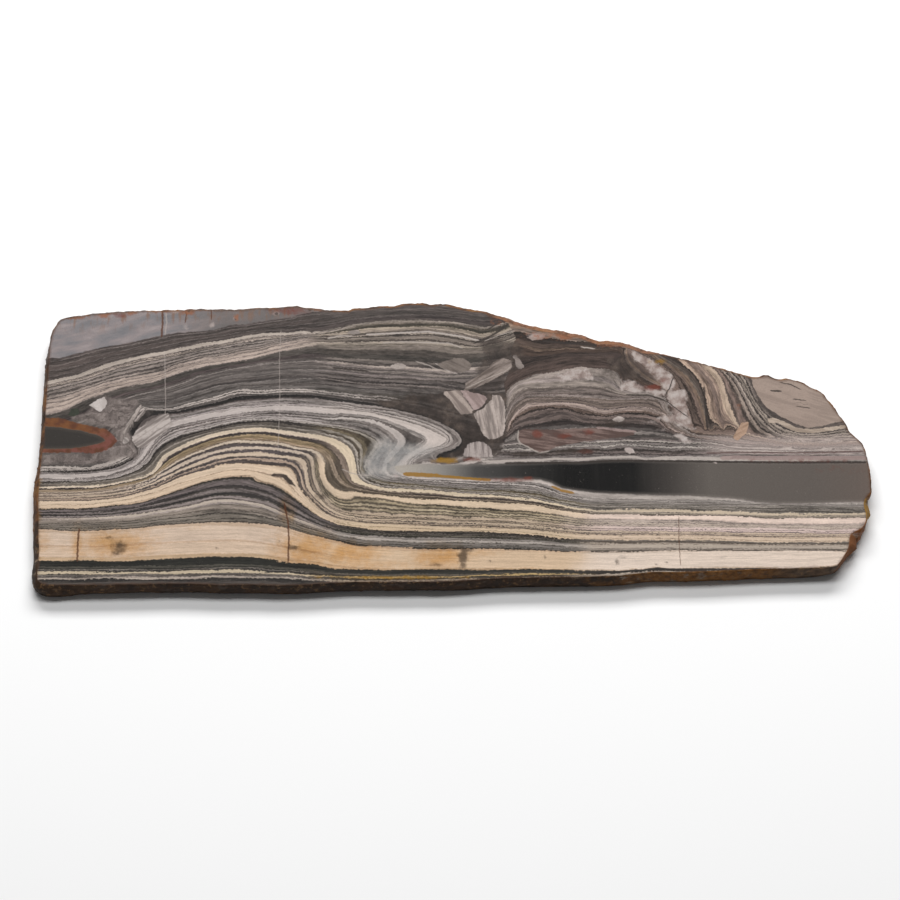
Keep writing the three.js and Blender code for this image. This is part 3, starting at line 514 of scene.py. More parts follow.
def segment_distances(points, stroke):
    """For each point, the distance to a stroke, the signed distance to its nearest segment's line, and the overshoot
    past the stroke's ends."""
    best = np.full(len(points), 1e9)
    signed = np.zeros(len(points))
    beyond = np.zeros(len(points))
    last = len(stroke) - 2
    for k in range(last + 1):
        start, way = stroke[k], stroke[k + 1] - stroke[k]
        length = max(np.hypot(*way), 1e-9)
        reach = (points - start) @ way / length
        held = np.clip(reach, 0, length)
        off = points - start - held[:, None] * way / length
        gap = np.hypot(off[:, 0], off[:, 1])
        side = (way[0] * (points[:, 1] - start[1]) - way[1] * (points[:, 0] - start[0])) / length
        near = gap < best
        best = np.where(near, gap, best)
        signed = np.where(near, side, signed)
        past = np.zeros(len(points))
        if k == 0:
            past = np.maximum(past, -reach)
        if k == last:
            past = np.maximum(past, reach - length)
        beyond = np.where(near, past, beyond)
    return best, signed, beyond


def inside_distance(points, text):
    """The distance to an outline, positive inside it."""
    outline = points_of(text)
    closed = np.concatenate([outline, outline[:1]])
    gap = segment_distances(points, closed)[0]
    inside = np.zeros(len(points), bool)
    for (x0, y0), (x1, y1) in zip(closed[:-1], closed[1:]):
        if y0 == y1:
            continue
        crosses = (y0 > points[:, 1]) != (y1 > points[:, 1])
        inside ^= crosses & (points[:, 0] < x0 + (points[:, 1] - y0) * (x1 - x0) / (y1 - y0))
    return np.where(inside, gap, -gap)


def line_values(points, group):
    """For a group of thin lines: signed distance, half width and how far the line lasts, at each point."""
    best = np.full(len(points), 1e9)
    values = np.zeros((len(points), 3))
    for name, half, text in LINES:
        if name != group:
            continue
        gap, side, beyond = segment_distances(points, points_of(text))
        near = gap < best
        best = np.where(near, gap, best)
        lasting = np.clip(1 - beyond / 0.8, 0, 1) * np.clip(2.5 - gap, 0, 1)
        values[near] = np.stack([side, np.full(len(points), half), lasting], axis=1)[near]
    return values


def fragment_values(points, group):
    """For a group of fragments: depth inside the nearest one, its stripe coordinate, and its two colours."""
    best = np.full(len(points), -1e9)
    shape = np.zeros((len(points), 3))
    light = np.ones((len(points), 4))
    dark = np.ones((len(points), 4))
    for name, pale, shade, pitch, angle, text in FRAGMENTS:
        if name != group:
            continue
        depth = inside_distance(points, text)
        near = depth > best
        best = np.where(near, depth, best)
        turn = np.radians(angle)
        stripe = (points[:, 0] * np.cos(turn) + points[:, 1] * np.sin(turn)) / pitch
        shape[near] = np.stack([depth, stripe, stripe * 0], axis=1)[near]
        light[near] = linear(pale)
        dark[near] = linear(shade)
    return shape, light, dark


def stain_values(points, kinds):
    """The strength of up to three kinds of stain at each point."""
    values = np.zeros((len(points), 3))
    for kind, x, y, wide, high, strength in STAINS:
        if kind in kinds:
            bump = strength * np.exp(-(((points[:, 0] - x) / wide) ** 2) - ((points[:, 1] - y) / high) ** 2)
            values[:, kinds.index(kind)] = np.maximum(values[:, kinds.index(kind)], bump)
    return values


def write_attribute(mesh, name, values):
    """Stores a row of numbers for each vertex: three as a vector, four as a colour."""
    kind = "FLOAT_VECTOR" if values.shape[1] == 3 else "FLOAT_COLOR"
    field = "vector" if values.shape[1] == 3 else "color"
    mesh.attributes.new(name, kind, "POINT").data.foreach_set(field, values.astype(np.float32).ravel())


def draw_pattern(mesh, rim):
    """Stores what the shaders draw the beds from, at every vertex of the slab."""
    places = np.zeros(len(mesh.vertices) * 3, np.float32)
    mesh.vertices.foreach_get("co", places)
    points = places.reshape(-1, 3)[:, :2].astype(float) / MM
    step = FIELD_STEPS[-1]
    beds = fill(BEDS)
    dome = fill(DOME)
    level = read_field(beds, step, points)
    lamina = np.interp(level, *np.array(LAMINA_HEIGHTS).T)
    write_attribute(mesh, "beds", np.stack([level, lamina, read_field(steepness(beds), step, points)], axis=1))
    edge = np.abs(inside_of(rim, points))
    dome_level = read_field(dome, step, points)
    write_attribute(mesh, "dome", np.stack([dome_level, read_field(steepness(dome), step, points), edge], axis=1))
    areas = [inside_distance(points, text) for text in (CHERT, LEFT_LENS, LEFT_RIM)]
    write_attribute(mesh, "areas", np.stack(areas, axis=1))
    zones = [inside_distance(points, text) for text in (RIGHT_LENS, NORTH_EAST, CLOUD)]
    write_attribute(mesh, "zones", np.stack(zones, axis=1))
    shades = [inside_distance(points, text) for text in (MATRIX, TOP_SHADE, DUSK_EAST)]
    milky = np.max([inside_distance(points, text) for text in MILKY], axis=0)
    write_attribute(mesh, "shades", np.stack([shades[0], np.maximum(*shades[1:]), milky], axis=1))
    swirl = inside_distance(points, SWIRL)
    write_attribute(mesh, "swirl", np.stack([swirl, swirl * 0, swirl * 0], axis=1))
    for group in ("a", "b"):
        shape, light, dark = fragment_values(points, group)
        write_attribute(mesh, f"fragment_{group}", shape)
        write_attribute(mesh, f"fragment_{group}_light", light)
        write_attribute(mesh, f"fragment_{group}_dark", dark)
    for group in ("pale", "pale2", "dark", "crack", "gold", "maroon", "pink", "white"):
        write_attribute(mesh, f"line_{group}", line_values(points, group))
    write_attribute(mesh, "stains", stain_values(points, ("gold", "yellow", "red")))
    write_attribute(mesh, "smudges", stain_values(points, ("orange", "smudge", "white")))


def inside_of(rim, points):
    """The distance to the rim of the polished face."""
    return segment_distances(points, np.concatenate([rim, rim[:1]]))[0]


def cut_faces(mesh, faces, axis, places):
    """Cuts faces by planes square to an axis, halving the places so that each cut meets few faces."""
    if not places or not faces:
        return faces
    middle = len(places) // 2
    normal = Vector((axis == 0, axis == 1, 0))
    geometry = {*faces}
    for face in faces:
        geometry.update(face.edges, face.verts)
    plane = normal * places[middle]
    cut = bmesh.ops.bisect_plane(mesh, geom=list(geometry), dist=1e-7, plane_co=plane, plane_no=normal)
    below, above = [], []
    for item in cut["geom"]:
        if isinstance(item, bmesh.types.BMFace):
            side = above if item.calc_center_bounds()[axis] > places[middle] else below
            side.append(item)
    return cut_faces(mesh, below, axis, places[:middle]) + cut_faces(mesh, above, axis, places[middle + 1 :])


def grid_faces(mesh, faces, pitch):
    """Turns flat faces into a grid of small ones with the pitch given, in metres."""
    for axis in (0, 1):
        low = min(v.co[axis] for f in faces for v in f.verts)
        high = max(v.co[axis] for f in faces for v in f.verts)
        count = int((high - low) / pitch)
        places = [low + (k + 0.5) * (high - low) / count for k in range(count)]
        faces = cut_faces(mesh, faces, axis, places)
    return faces


def flat_side(mesh, height):
    """The one face that a flat side at a height becomes when its triangles are merged."""
    level = [f for f in mesh.faces if all(abs(v.co.z - height) < 1e-6 for v in f.verts)]
    return bmesh.ops.dissolve_faces(mesh, faces=level)["region"]


def rim_points(face):
    """The corners of a face in order, in millimetres."""
    return np.array([[v.co.x, v.co.y] for v in face.verts]) / MM


def roughen(mesh, faces, top, amount):
    """Breaks up the wall with small lumps, and leaves the rims of the face and of the back in place."""
    mesh.normal_update()
    moves = []
    for vertex in {v for f in faces for v in f.verts}:
        if vertex.co.z > top - 1e-6 or vertex.co.z < 1e-6:
            continue
        place = vertex.co / MM
        lump = noise.fractal(place * 0.5, 0.7, 2.1, 4) + 0.5 * noise.noise(place * 1.6)
        flat = Vector((vertex.normal.x, vertex.normal.y, 0.4 * vertex.normal.z))
        moves.append((vertex, flat * (amount * MM * lump)))
    for vertex, move in moves:
        vertex.co += move
        vertex.co.z = min(max(vertex.co.z, 0.0), top)


class Shader:
    """Adds shader nodes to a tree, one call for each, and links them to what they are given."""

    def __init__(self, tree):
        self.tree = tree

    def feed(self, socket, value):
        """Links a socket to another one, or sets its value."""
        if isinstance(value, bpy.types.NodeSocket):
            self.tree.links.new(value, socket)
        else:
            socket.default_value = value

    def math(self, operation, first, second=0.0, third=0.0, clamp=False):
        """One arithmetic step."""
        node = self.tree.nodes.new("ShaderNodeMath")
        node.operation = operation
        node.use_clamp = clamp
        for socket, value in zip(node.inputs, (first, second, third)):
            self.feed(socket, value)
        return node.outputs[0]

    def step(self, value, low, high):
        """A smooth climb from 0 at low to 1 at high."""
        node = self.tree.nodes.new("ShaderNodeMapRange")
        node.interpolation_type = "SMOOTHSTEP"
        self.feed(node.inputs[0], value)
        self.feed(node.inputs[1], low)
        self.feed(node.inputs[2], high)
        return node.outputs[0]

    def mix(self, factor, first, second, blend="MIX"):
        """A mix of two colours."""
        node = self.tree.nodes.new("ShaderNodeMix")
        node.data_type = "RGBA"
        node.blend_type = blend
        for index, value in ((0, factor), (6, first), (7, second)):
            self.feed(node.inputs[index], value)
        return node.outputs[2]

    def noise(self, vector, scale, detail=2.0, roughness=0.5):
        """Fractal noise from 0 to 1."""
        node = self.tree.nodes.new("ShaderNodeTexNoise")
        self.feed(node.inputs["Vector"], vector)
        node.inputs["Scale"].default_value = scale
        node.inputs["Detail"].default_value = detail
        node.inputs["Roughness"].default_value = roughness
        return node.outputs[0]

    def read(self, name, output="Vector"):
        """An attribute of the mesh."""
        node = self.tree.nodes.new("ShaderNodeAttribute")
        node.attribute_name = name
        return node.outputs[output]

    def parts(self, vector):
        """The three numbers of a vector."""
        node = self.tree.nodes.new("ShaderNodeSeparateXYZ")
        self.feed(node.inputs[0], vector)
        return node.outputs[0], node.outputs[1], node.outputs[2]

    def join(self, x, y, z):
        """A vector of three numbers."""
        node = self.tree.nodes.new("ShaderNodeCombineXYZ")
        for socket, value in zip(node.inputs, (x, y, z)):
            self.feed(socket, value)
        return node.outputs[0]

    def lightness(self, colour):
        """How light a colour is."""
        node = self.tree.nodes.new("ShaderNodeRGBToBW")
        self.feed(node.inputs[0], colour)
        return node.outputs[0]

    def ramp(self, value, stops, interpolation="LINEAR"):
        """A colour from a row of places and colours."""
        node = self.tree.nodes.new("ShaderNodeValToRGB")
        node.color_ramp.interpolation = interpolation
        elements = node.color_ramp.elements
        while len(elements) < len(stops):
            elements.new(1.0)
        for element, (place, tint) in zip(elements, stops):
            element.position = place
            element.color = tint
        self.feed(node.inputs[0], value)
        return node.outputs[0]

    def log(self, level, text, soft=0.012, layers=15):
        """The colour of each level of a log: ramps of a few layers each, chosen by the level."""
        rows = [(float(row.split()[0]), linear(row.split()[1])) for row in text.split(",")]
        tint = None
        bottom = 0.0
        for start in range(0, len(rows), layers):
            part = rows[start : start + layers]
            top = part[-1][0]
            span = top - bottom
            stops = [(0.0, part[0][1])]
            for (edge, below), (_, above) in zip(part[:-1], part[1:]):
                stops.append(((edge - soft - bottom) / span, below))
                stops.append(((edge + soft - bottom) / span, above))
            stops.append((1.0, part[-1][1]))
            share = self.math("DIVIDE", self.math("SUBTRACT", level, bottom), span, clamp=True)
            ramp = self.ramp(share, stops)
            tint = ramp if tint is None else self.mix(self.math("GREATER_THAN", level, bottom), tint, ramp)
            bottom = top
        return tint


def millimetre_place(shader):
    """The place on the slab in millimetres, from its object coordinates."""
    node = shader.tree.nodes.new("ShaderNodeTexCoord")
    scale = shader.tree.nodes.new("ShaderNodeVectorMath")
    scale.operation = "SCALE"
    shader.tree.links.new(node.outputs["Object"], scale.inputs[0])
    scale.inputs["Scale"].default_value = 1 / MM
    return scale.outputs[0]


def new_group(name, outputs):
    """A shader node group with outputs only, and the sockets to feed them."""
    group = bpy.data.node_groups.new(name, "ShaderNodeTree")
    for label, kind in outputs:
        group.interface.new_socket(label, in_out="OUTPUT", socket_type=kind)
    return group, group.nodes.new("NodeGroupOutput")


def laminae(s, x, y, lamina):
    """Thin streaks along the beds, from about -0.5 to 0.5: long broad ones, and short fine ones."""
    streaks = None
    for run, pitch, share in ((0.05, 1.2, 1.0), (0.3, 3.6, 0.9)):
        place = s.join(s.math("MULTIPLY", x, run), s.math("MULTIPLY", y, run), s.math("MULTIPLY", lamina, pitch))
        part = s.math("SUBTRACT", s.step(s.noise(place, 1.0, 2.0, 0.6), 0.3, 0.7), 0.5)
        streaks = s.math("MULTIPLY", part, share) if streaks is None else s.math("MULTIPLY_ADD", part, share, streaks)
    return streaks


def beds_group(settings):
    """The colour of the beds everywhere on the slab, before fragments, lines and stains."""
    group, out = new_group("Stone beds", [("Color", "NodeSocketColor")])
    s = Shader(group)
    place = millimetre_place(s)
    x, y, _ = s.parts(place)
    level, lamina, rate = s.parts(s.read("beds"))
    rag = s.math("SUBTRACT", s.noise(place, 1.1, 3.0, 0.7), 0.5)
    swell_place = s.join(s.math("MULTIPLY", x, 0.07), s.math("MULTIPLY", y, 0.07), s.math("MULTIPLY", lamina, 0.45))
    swell = s.math("MULTIPLY_ADD", s.noise(swell_place, 1.0, 2.0), settings.swell, -0.5 * settings.swell)
    stray = s.math("MULTIPLY_ADD", rag, settings.raggedness, swell)
    level = s.math("ADD", level, s.math("MULTIPLY", stray, rate))
    drift = s.math("MULTIPLY_ADD", s.noise(place, 0.09, 1.0), 24.0, -12.0)
    wander = s.math("ADD", x, drift)
    tint = s.mix(s.step(wander, -54.0, -38.0), s.log(level, WEST_LOG), s.log(level, MIDDLE_LOG))
    tint = s.mix(s.step(wander, 36.0, 58.0), tint, s.log(level, EAST_LOG))
    thin = s.math("MULTIPLY", s.step(level, 7.0, 7.3), s.step(level, 11.4, 10.9))
    thin = s.math("MULTIPLY", thin, s.step(x, -106.0, -124.0))
    tint = s.mix(s.math("MULTIPLY", thin, 0.45), tint, linear("a39280"))
    dome_level, dome_rate, _ = s.parts(s.read("dome"))
    dome_shake = s.math("MULTIPLY", dome_rate, s.math("MULTIPLY", stray, 1.3))
    _, north_east, _ = s.parts(s.read("zones"))
    ragged_edge = s.math("MULTIPLY_ADD", rag, 1.5, north_east)
    tint = s.mix(s.step(ragged_edge, -0.15, 0.15), tint, s.log(s.math("ADD", dome_level, dome_shake), DOME_LOG))
    pale_end = s.math("MULTIPLY", s.math("MULTIPLY", s.step(x, 84.0, 100.0), s.step(y, 4.0, 0.0)), s.step(y, -6.4, -5.4))
    tint = s.mix(s.math("MULTIPLY", pale_end, 0.4), tint, linear("d6c8c2"))
    blend = s.step(ragged_edge, -0.15, 0.15)
    fine = s.mix(blend, s.join(x, y, lamina), s.join(x, y, s.math("MULTIPLY", dome_level, 2.5)))
    streaks = laminae(s, *s.parts(fine))
    calm = s.math("MULTIPLY_ADD", s.step(s.lightness(tint), 0.28, 0.5), -0.7, 1.0)
    shade = s.math("MULTIPLY_ADD", streaks, s.math("MULTIPLY", calm, settings.lamina_contrast), 1.0)
    gray = s.join(shade, shade, shade)
    s.feed(out.inputs[0], s.mix(1.0, tint, gray, "MULTIPLY"))
    return group


def use_group(shader, group):
    """Places a node group in a material or in another group, and gives its outputs."""
    node = shader.tree.nodes.new("ShaderNodeGroup")
    node.node_tree = group
    return node.outputs


def fragments_layer(s, tint, place, name):
    """Adds the fragments of a group over a colour."""
    depth, stripe, _ = s.parts(s.read(f"fragment_{name}"))
    rag = s.math("MULTIPLY_ADD", s.noise(place, 0.8, 3.0, 0.65), 1.2, -0.6)
    x, y, _ = s.parts(place)
    bands = s.noise(s.join(stripe, s.math("MULTIPLY", x, 0.06), s.math("MULTIPLY", y, 0.06)), 1.0, 3.0, 0.6)
    dark = s.read(f"fragment_{name}_dark", "Color")
    inner = s.mix(s.step(bands, 0.4, 0.6), dark, s.read(f"fragment_{name}_light", "Color"))
    inner = s.mix(s.math("MULTIPLY", s.step(s.noise(place, 0.7, 4.0, 0.7), 0.5, 0.64), 0.4), inner, dark)
    border = s.step(s.math("ADD", depth, rag), -0.5, 0.0)
    tint = s.mix(s.math("MULTIPLY", border, 0.25), tint, linear("46403d"))
    return s.mix(s.step(s.math("ADD", depth, rag), -0.12, 0.18), tint, inner)


def line_layer(s, tint, place, name, code, strength=1.0):
    """Adds the thin lines of a group over a colour."""
    side, half, lasting = s.parts(s.read(f"line_{name}"))
    rag = s.math("MULTIPLY_ADD", s.noise(place, 0.9, 3.0, 0.6), 0.7, -0.35)
    gap = s.math("ABSOLUTE", s.math("ADD", side, rag))
    reach = s.math("MULTIPLY", half, lasting)
    factor = s.step(s.math("SUBTRACT", reach, gap), -0.15, 0.15)
    factor = s.math("MULTIPLY", factor, s.step(lasting, 0.05, 0.4))
    return s.mix(s.math("MULTIPLY", factor, strength), tint, linear(code))


def lenses_layer(s, tint, place):
    """Adds the clouded pale area and the two lenses of dark chert."""
    x, y, _ = s.parts(place)
    right, _, cloud = s.parts(s.read("zones"))
    puffs = s.noise(place, 0.22, 5.0, 0.66)
    haze = s.ramp(
        puffs, [(0.3, linear("858585")), (0.45, linear("a0a2a2")), (0.55, linear("b4b3b0")), (0.7, linear("c6c1bc"))]
    )
    soft_edge = s.math("MULTIPLY_ADD", puffs, 7.0, cloud)
    tint = s.mix(s.math("MULTIPLY", s.step(soft_edge, 1.5, 7.0), 0.7), tint, haze)
    matrix, crest, milky = s.parts(s.read("shades"))
    dusk = s.ramp(puffs, [(0.3, linear("2b2522")), (0.5, linear("403834")), (0.7, linear("635850"))])
    tint = s.mix(s.math("MULTIPLY", s.step(s.math("MULTIPLY_ADD", puffs, 4.0, matrix), 1.5, 3.0), 0.9), tint, dusk)
    tint = s.mix(s.math("MULTIPLY", s.step(s.math("MULTIPLY_ADD", puffs, 5.0, crest), 1.5, 4.0), 0.75), tint, dusk)
    rag = s.math("MULTIPLY_ADD", s.noise(place, 0.7, 3.0, 0.6), 0.8, -0.4)
    speckles = s.noise(place, 0.28, 4.0, 0.6)
    milk = s.ramp(
        speckles, [(0.34, linear("85746e")), (0.45, linear("a3958f")), (0.55, linear("bdb3ae")), (0.7, linear("cbc4c0"))]
    )
    milky_edge = s.math("MULTIPLY_ADD", speckles, 5.0, s.math("ADD", milky, -2.5))
    tint = s.mix(s.math("MULTIPLY", s.step(milky_edge, -0.5, 0.9), 0.9), tint, milk)
    swirl, _, _ = s.parts(s.read("swirl"))
    bent = s.join(s.math("MULTIPLY", x, 0.22), s.math("MULTIPLY_ADD", puffs, 6.0, s.math("MULTIPLY", y, 0.5)), 1.0)
    knots = s.ramp(
        s.noise(bent, 1.0, 4.0, 0.65),
        [(0.3, linear("443f3c")), (0.44, linear("6b625f")), (0.55, linear("847b77")), (0.7, linear("a39994"))],
    )
    tint = s.mix(s.math("MULTIPLY", s.step(s.math("MULTIPLY_ADD", rag, 3.0, swirl), -0.6, 1.2), 0.85), tint, knots)
    way = s.math("MULTIPLY_ADD", x, 1 / 170, 20 / 170)
    core = s.ramp(
        way,
        [
            (0.0, linear("bcb6ac")), (0.09, linear("96948f")), (0.17, linear("4c4b4a")), (0.27, linear("2b2a29")),
            (0.36, linear("0b0a09")), (0.5, linear("100f0e")), (0.58, linear("433f3c")), (0.66, linear("65605b")),
            (0.88, linear("645e59")), (0.97, linear("69605a")), (1.0, linear("6f635c")),
        ],
    )
    veil = s.noise(s.join(s.math("MULTIPLY", x, 0.6), s.math("MULTIPLY", y, 0.05), 0.0), 1.0, 2.0)
    core = s.mix(s.math("MULTIPLY", s.step(veil, 0.45, 0.75), 0.018), core, linear("8d8781"))
    core = s.mix(s.math("MULTIPLY", s.step(right, 1.6, 0.0), 0.25), core, linear("9a938d"))
    tint = s.mix(s.step(s.math("ADD", right, rag), -0.5, 0.5), tint, core)
    _, lens, rim = s.parts(s.read("areas"))
    lower = s.step(s.math("SUBTRACT", x, s.math("MULTIPLY", y, 3.0)), -146.0, -124.0)
    rusty = s.mix(lower, linear("7b5030"), linear("7c4d43"))
    rusty = s.mix(s.step(s.noise(place, 0.3, 3.0), 0.35, 0.6), linear("623d2b"), rusty)
    tint = s.mix(s.step(s.math("MULTIPLY_ADD", rag, 1.6, rim), -0.3, 0.4), tint, rusty)
    deep = s.ramp(s.math("MULTIPLY", lens, 0.2), [(0.0, linear("5f574c")), (0.06, linear("47423d")), (0.3, linear("393633"))])
    return s.mix(s.step(s.math("MULTIPLY_ADD", rag, 1.2, lens), -0.25, 0.25), tint, deep)


def chert_layer(s, tint, place):
    """Adds the lilac chert over the beds at the upper left."""
    chert, _, _ = s.parts(s.read("areas"))
    x, y, _ = s.parts(place)
    tilted = s.join(s.math("MULTIPLY", x, 0.07), s.math("MULTIPLY_ADD", x, -0.05, s.math("MULTIPLY", y, 0.22)), 3.0)
    clouds = s.noise(tilted, 1.0, 3.0, 0.6)
    stone = s.ramp(
        clouds,
        [(0.32, linear("797a7e")), (0.44, linear("878588")), (0.55, linear("938c8d")), (0.68, linear("a39b9b"))],
    )
    stone = s.mix(s.math("MULTIPLY", s.step(x, -106.0, -80.0), 0.65), stone, linear("665f5b"))
    wisps = s.noise(s.join(s.math("MULTIPLY", x, 0.5), s.math("MULTIPLY", y, 0.12), 0.0), 1.0, 3.0, 0.6)
    stained = s.math("MULTIPLY", s.step(wisps, 0.5, 0.68), s.step(s.math("MULTIPLY_ADD", x, -0.06, y), 51.0, 60.0))
    stone = s.mix(s.math("MULTIPLY", stained, 0.7), stone, linear("85654f"))
    rag = s.math("MULTIPLY_ADD", s.noise(place, 0.6, 3.0, 0.6), 1.2, -0.6)
    return s.mix(s.step(s.math("ADD", chert, rag), -0.2, 0.25), tint, stone)


def stains_layer(s, tint, place):
    """Adds rust, gold and dark stains, and the stained rim."""
    patches = s.noise(place, 0.35, 4.0, 0.65)
    gold, yellow, red = s.parts(s.read("stains"))
    orange, smudge, white = s.parts(s.read("smudges"))
    layers = (
        (white, 1.5, 0.25, 0.85, 0.85, "b9aeaa", "MIX"),
        (gold, 1.1, 0.05, 1.15, 0.7, "e0b03c", "MULTIPLY"),
        (orange, 1.7, 0.25, 0.85, 0.8, "97603f", "MIX"),
        (red, 1.8, 0.15, 1.2, 0.75, "74382a", "MIX"),
        (yellow, 1.6, 0.2, 0.95, 0.9, "9a7420", "MIX"),
        (smudge, 1.8, 0.15, 1.0, 0.8, "3a322c", "MIX"),
    )
    for amount, patchiness, low, high, strength, code, blend in layers:
        shaped = s.math("MULTIPLY_ADD", s.math("SUBTRACT", patches, 0.5), patchiness, amount)
        factor = s.math("MULTIPLY", s.step(shaped, low, high), s.step(amount, 0.02, 0.25))
        tint = s.mix(s.math("MULTIPLY", factor, strength), tint, linear(code), blend)
    flecks = s.math("MULTIPLY", s.step(s.noise(place, 1.5, 3.0, 0.7), 0.64, 0.74), s.step(s.noise(place, 0.11), 0.48, 0.62))
    tint = s.mix(s.math("MULTIPLY", flecks, 0.35), tint, linear("c0b8b2"))
    _, _, edge = s.parts(s.read("dome"))
    rim = s.step(s.math("MULTIPLY_ADD", patches, 2.2, s.math("MULTIPLY", edge, -1.0)), 0.2, 1.2)
    return s.mix(s.math("MULTIPLY", rim, 0.45), tint, linear("5d4130"))


def pattern_group(settings, beds):
    """The whole colour of the cut stone."""
    group, out = new_group("Cut stone", [("Color", "NodeSocketColor"), ("Relief", "NodeSocketFloat")])
    s = Shader(group)
    place = millimetre_place(s)
    tint = use_group(s, beds)[0]
    tint = lenses_layer(s, tint, place)
    tint = line_layer(s, tint, place, "pale", "b9b1ab")
    tint = fragments_layer(s, tint, place, "a")
    tint = fragments_layer(s, tint, place, "b")
    tint = line_layer(s, tint, place, "pale2", "b5ada6", 0.75)
    tint = line_layer(s, tint, place, "dark", "38322f", 0.9)
    tint = line_layer(s, tint, place, "maroon", "5a4341", 0.75)
    tint = line_layer(s, tint, place, "pink", "a4918d", 0.8)
    tint = line_layer(s, tint, place, "gold", "9c7427", 0.9)
    tint = chert_layer(s, tint, place)
    tint = line_layer(s, tint, place, "white", "b9b0aa", 0.5)
    tint = line_layer(s, tint, place, "crack", "5d3a26", 0.85)
    tint = stains_layer(s, tint, place)
    fine = s.noise(place, 2.6, 2.0, 0.6)
    grain = s.math("MULTIPLY_ADD", fine, settings.grain, 1.0 - 0.5 * settings.grain)
    tint = s.mix(1.0, tint, s.join(grain, grain, grain), "MULTIPLY")
    gain = [settings.brightness * warmth for warmth in (1.03, 0.985, 0.965)]
    s.feed(out.inputs[0], s.mix(1.0, tint, (*gain, 1.0), "MULTIPLY"))
    s.feed(out.inputs[1], fine)
    return group


def new_material(name):
    """A material with a Principled shader: the material, its tree's helper and the shader node."""
    material = bpy.data.materials.new(name)
    material.use_nodes = True
    return material, Shader(material.node_tree), material.node_tree.nodes["Principled BSDF"]


def polished_material(pattern):
    """The polished face."""
    material, s, surface = new_material("Polished stone")
    colour, relief = use_group(s, pattern)[:2]
    s.feed(surface.inputs["Base Color"], colour)
    s.feed(surface.inputs["Roughness"], s.math("MULTIPLY_ADD", relief, 0.1, 0.2))
    surface.inputs["Specular IOR Level"].default_value = 0.09
    return material


def bump(s, surface, height, distance, strength):
    """Gives a surface the relief of a height."""
    node = s.tree.nodes.new("ShaderNodeBump")
    node.inputs["Distance"].default_value = distance
    node.inputs["Strength"].default_value = strength
    s.feed(node.inputs["Height"], height)
    s.tree.links.new(node.outputs["Normal"], surface.inputs["Normal"])


def rind_material(pattern, settings):
    """The rough natural rim, stained brown and rusty, with painted shade on the front wall."""
    material, s, surface = new_material("Natural rind")
    place = millimetre_place(s)
    x, y, z = s.parts(place)
    patches = s.noise(place, 0.16, 4.0, 0.65)
    rust = s.ramp(
        patches,
        [(0.3, linear("2a1d14")), (0.45, linear("4a3222")), (0.55, linear("6b4526")), (0.7, linear("7d5a34"))],
    )
    # The front wall faces away from the lights. Its colour is painted shade, near black at the left, with golden,
    # grey-brown and crumbly patches of the rind's own colour towards the right.
    shaded_side = s.step(y, -30.0, -46.0)
    crumbs = s.noise(place, 0.5, 4.0, 0.7)
    shade_and_patches = s.mix(s.step(s.math("MULTIPLY_ADD", patches, 60.0, x), 76.0, 106.0), linear("251c15"), linear("7a5020"))
    shade_and_patches = s.mix(s.step(x, 108.0, 124.0), shade_and_patches, linear("5b4c3e"))
    shade_and_patches = s.mix(s.math("MULTIPLY", s.step(crumbs, 0.48, 0.62), 0.6), shade_and_patches, linear("2a1f16"))
    shade_and_patches = s.mix(s.math("MULTIPLY", s.step(crumbs, 0.46, 0.36), 0.5), shade_and_patches, linear("8f6f4c"))
    rust = s.mix(s.math("MULTIPLY", shaded_side, 0.8), rust, shade_and_patches)
    chips = s.math("MULTIPLY", s.step(x, 134.0, 139.0), s.step(y, -22.0, -26.0))
    chip_tint = s.mix(s.step(y, -30.0, -34.0), linear("8f6c2b"), linear("7a4a26"))
    rust = s.mix(s.math("MULTIPLY", chips, 0.85), rust, chip_tint)
    back_slope = s.math("MULTIPLY", s.step(x, 8.0, 24.0), s.step(x, 84.0, 70.0))
    back_slope = s.math("MULTIPLY", back_slope, s.step(y, 20.0, 34.0))
    back_slope = s.math("MULTIPLY", back_slope, s.step(crumbs, 0.3, 0.62))
    rust = s.mix(s.math("MULTIPLY", back_slope, 0.7), rust, linear("8a6049"))
    stone = s.mix(0.5, use_group(s, pattern)[0], linear("4d4038"))
    calm = s.math("MULTIPLY", s.step(y, 20.0, 40.0), s.step(x, -30.0, -50.0))
    fresh = s.step(s.math("MULTIPLY_ADD", calm, 0.2, s.noise(place, 0.3, 3.0)), 0.55, 0.7)
    tint = s.mix(s.math("MULTIPLY", fresh, 0.7), rust, stone)
    s.feed(surface.inputs["Base Color"], tint)
    surface.inputs["Roughness"].default_value = 0.8
    surface.inputs["Specular IOR Level"].default_value = 0.3
    bump(s, surface, s.noise(place, 1.1, 5.0, 0.65), settings.rind_relief * MM, 0.6)
    return material


def sawn_material(pattern):
    """The sawn back: the same beds, dull, with the marks of the saw."""
    material, s, surface = new_material("Sawn stone")
    place = millimetre_place(s)
    x, y, _ = s.parts(place)
    dull = s.mix(0.35, use_group(s, pattern)[0], linear("8a8480"))
    marks = s.noise(s.join(s.math("MULTIPLY_ADD", y, y, s.math("MULTIPLY", x, 900.0)), 0.0, 0.0), 0.0012, 2.0)
    s.feed(surface.inputs["Base Color"], dull)
    surface.inputs["Roughness"].default_value = 0.75
    bump(s, surface, marks, 0.1 * MM, 0.3)
    return material


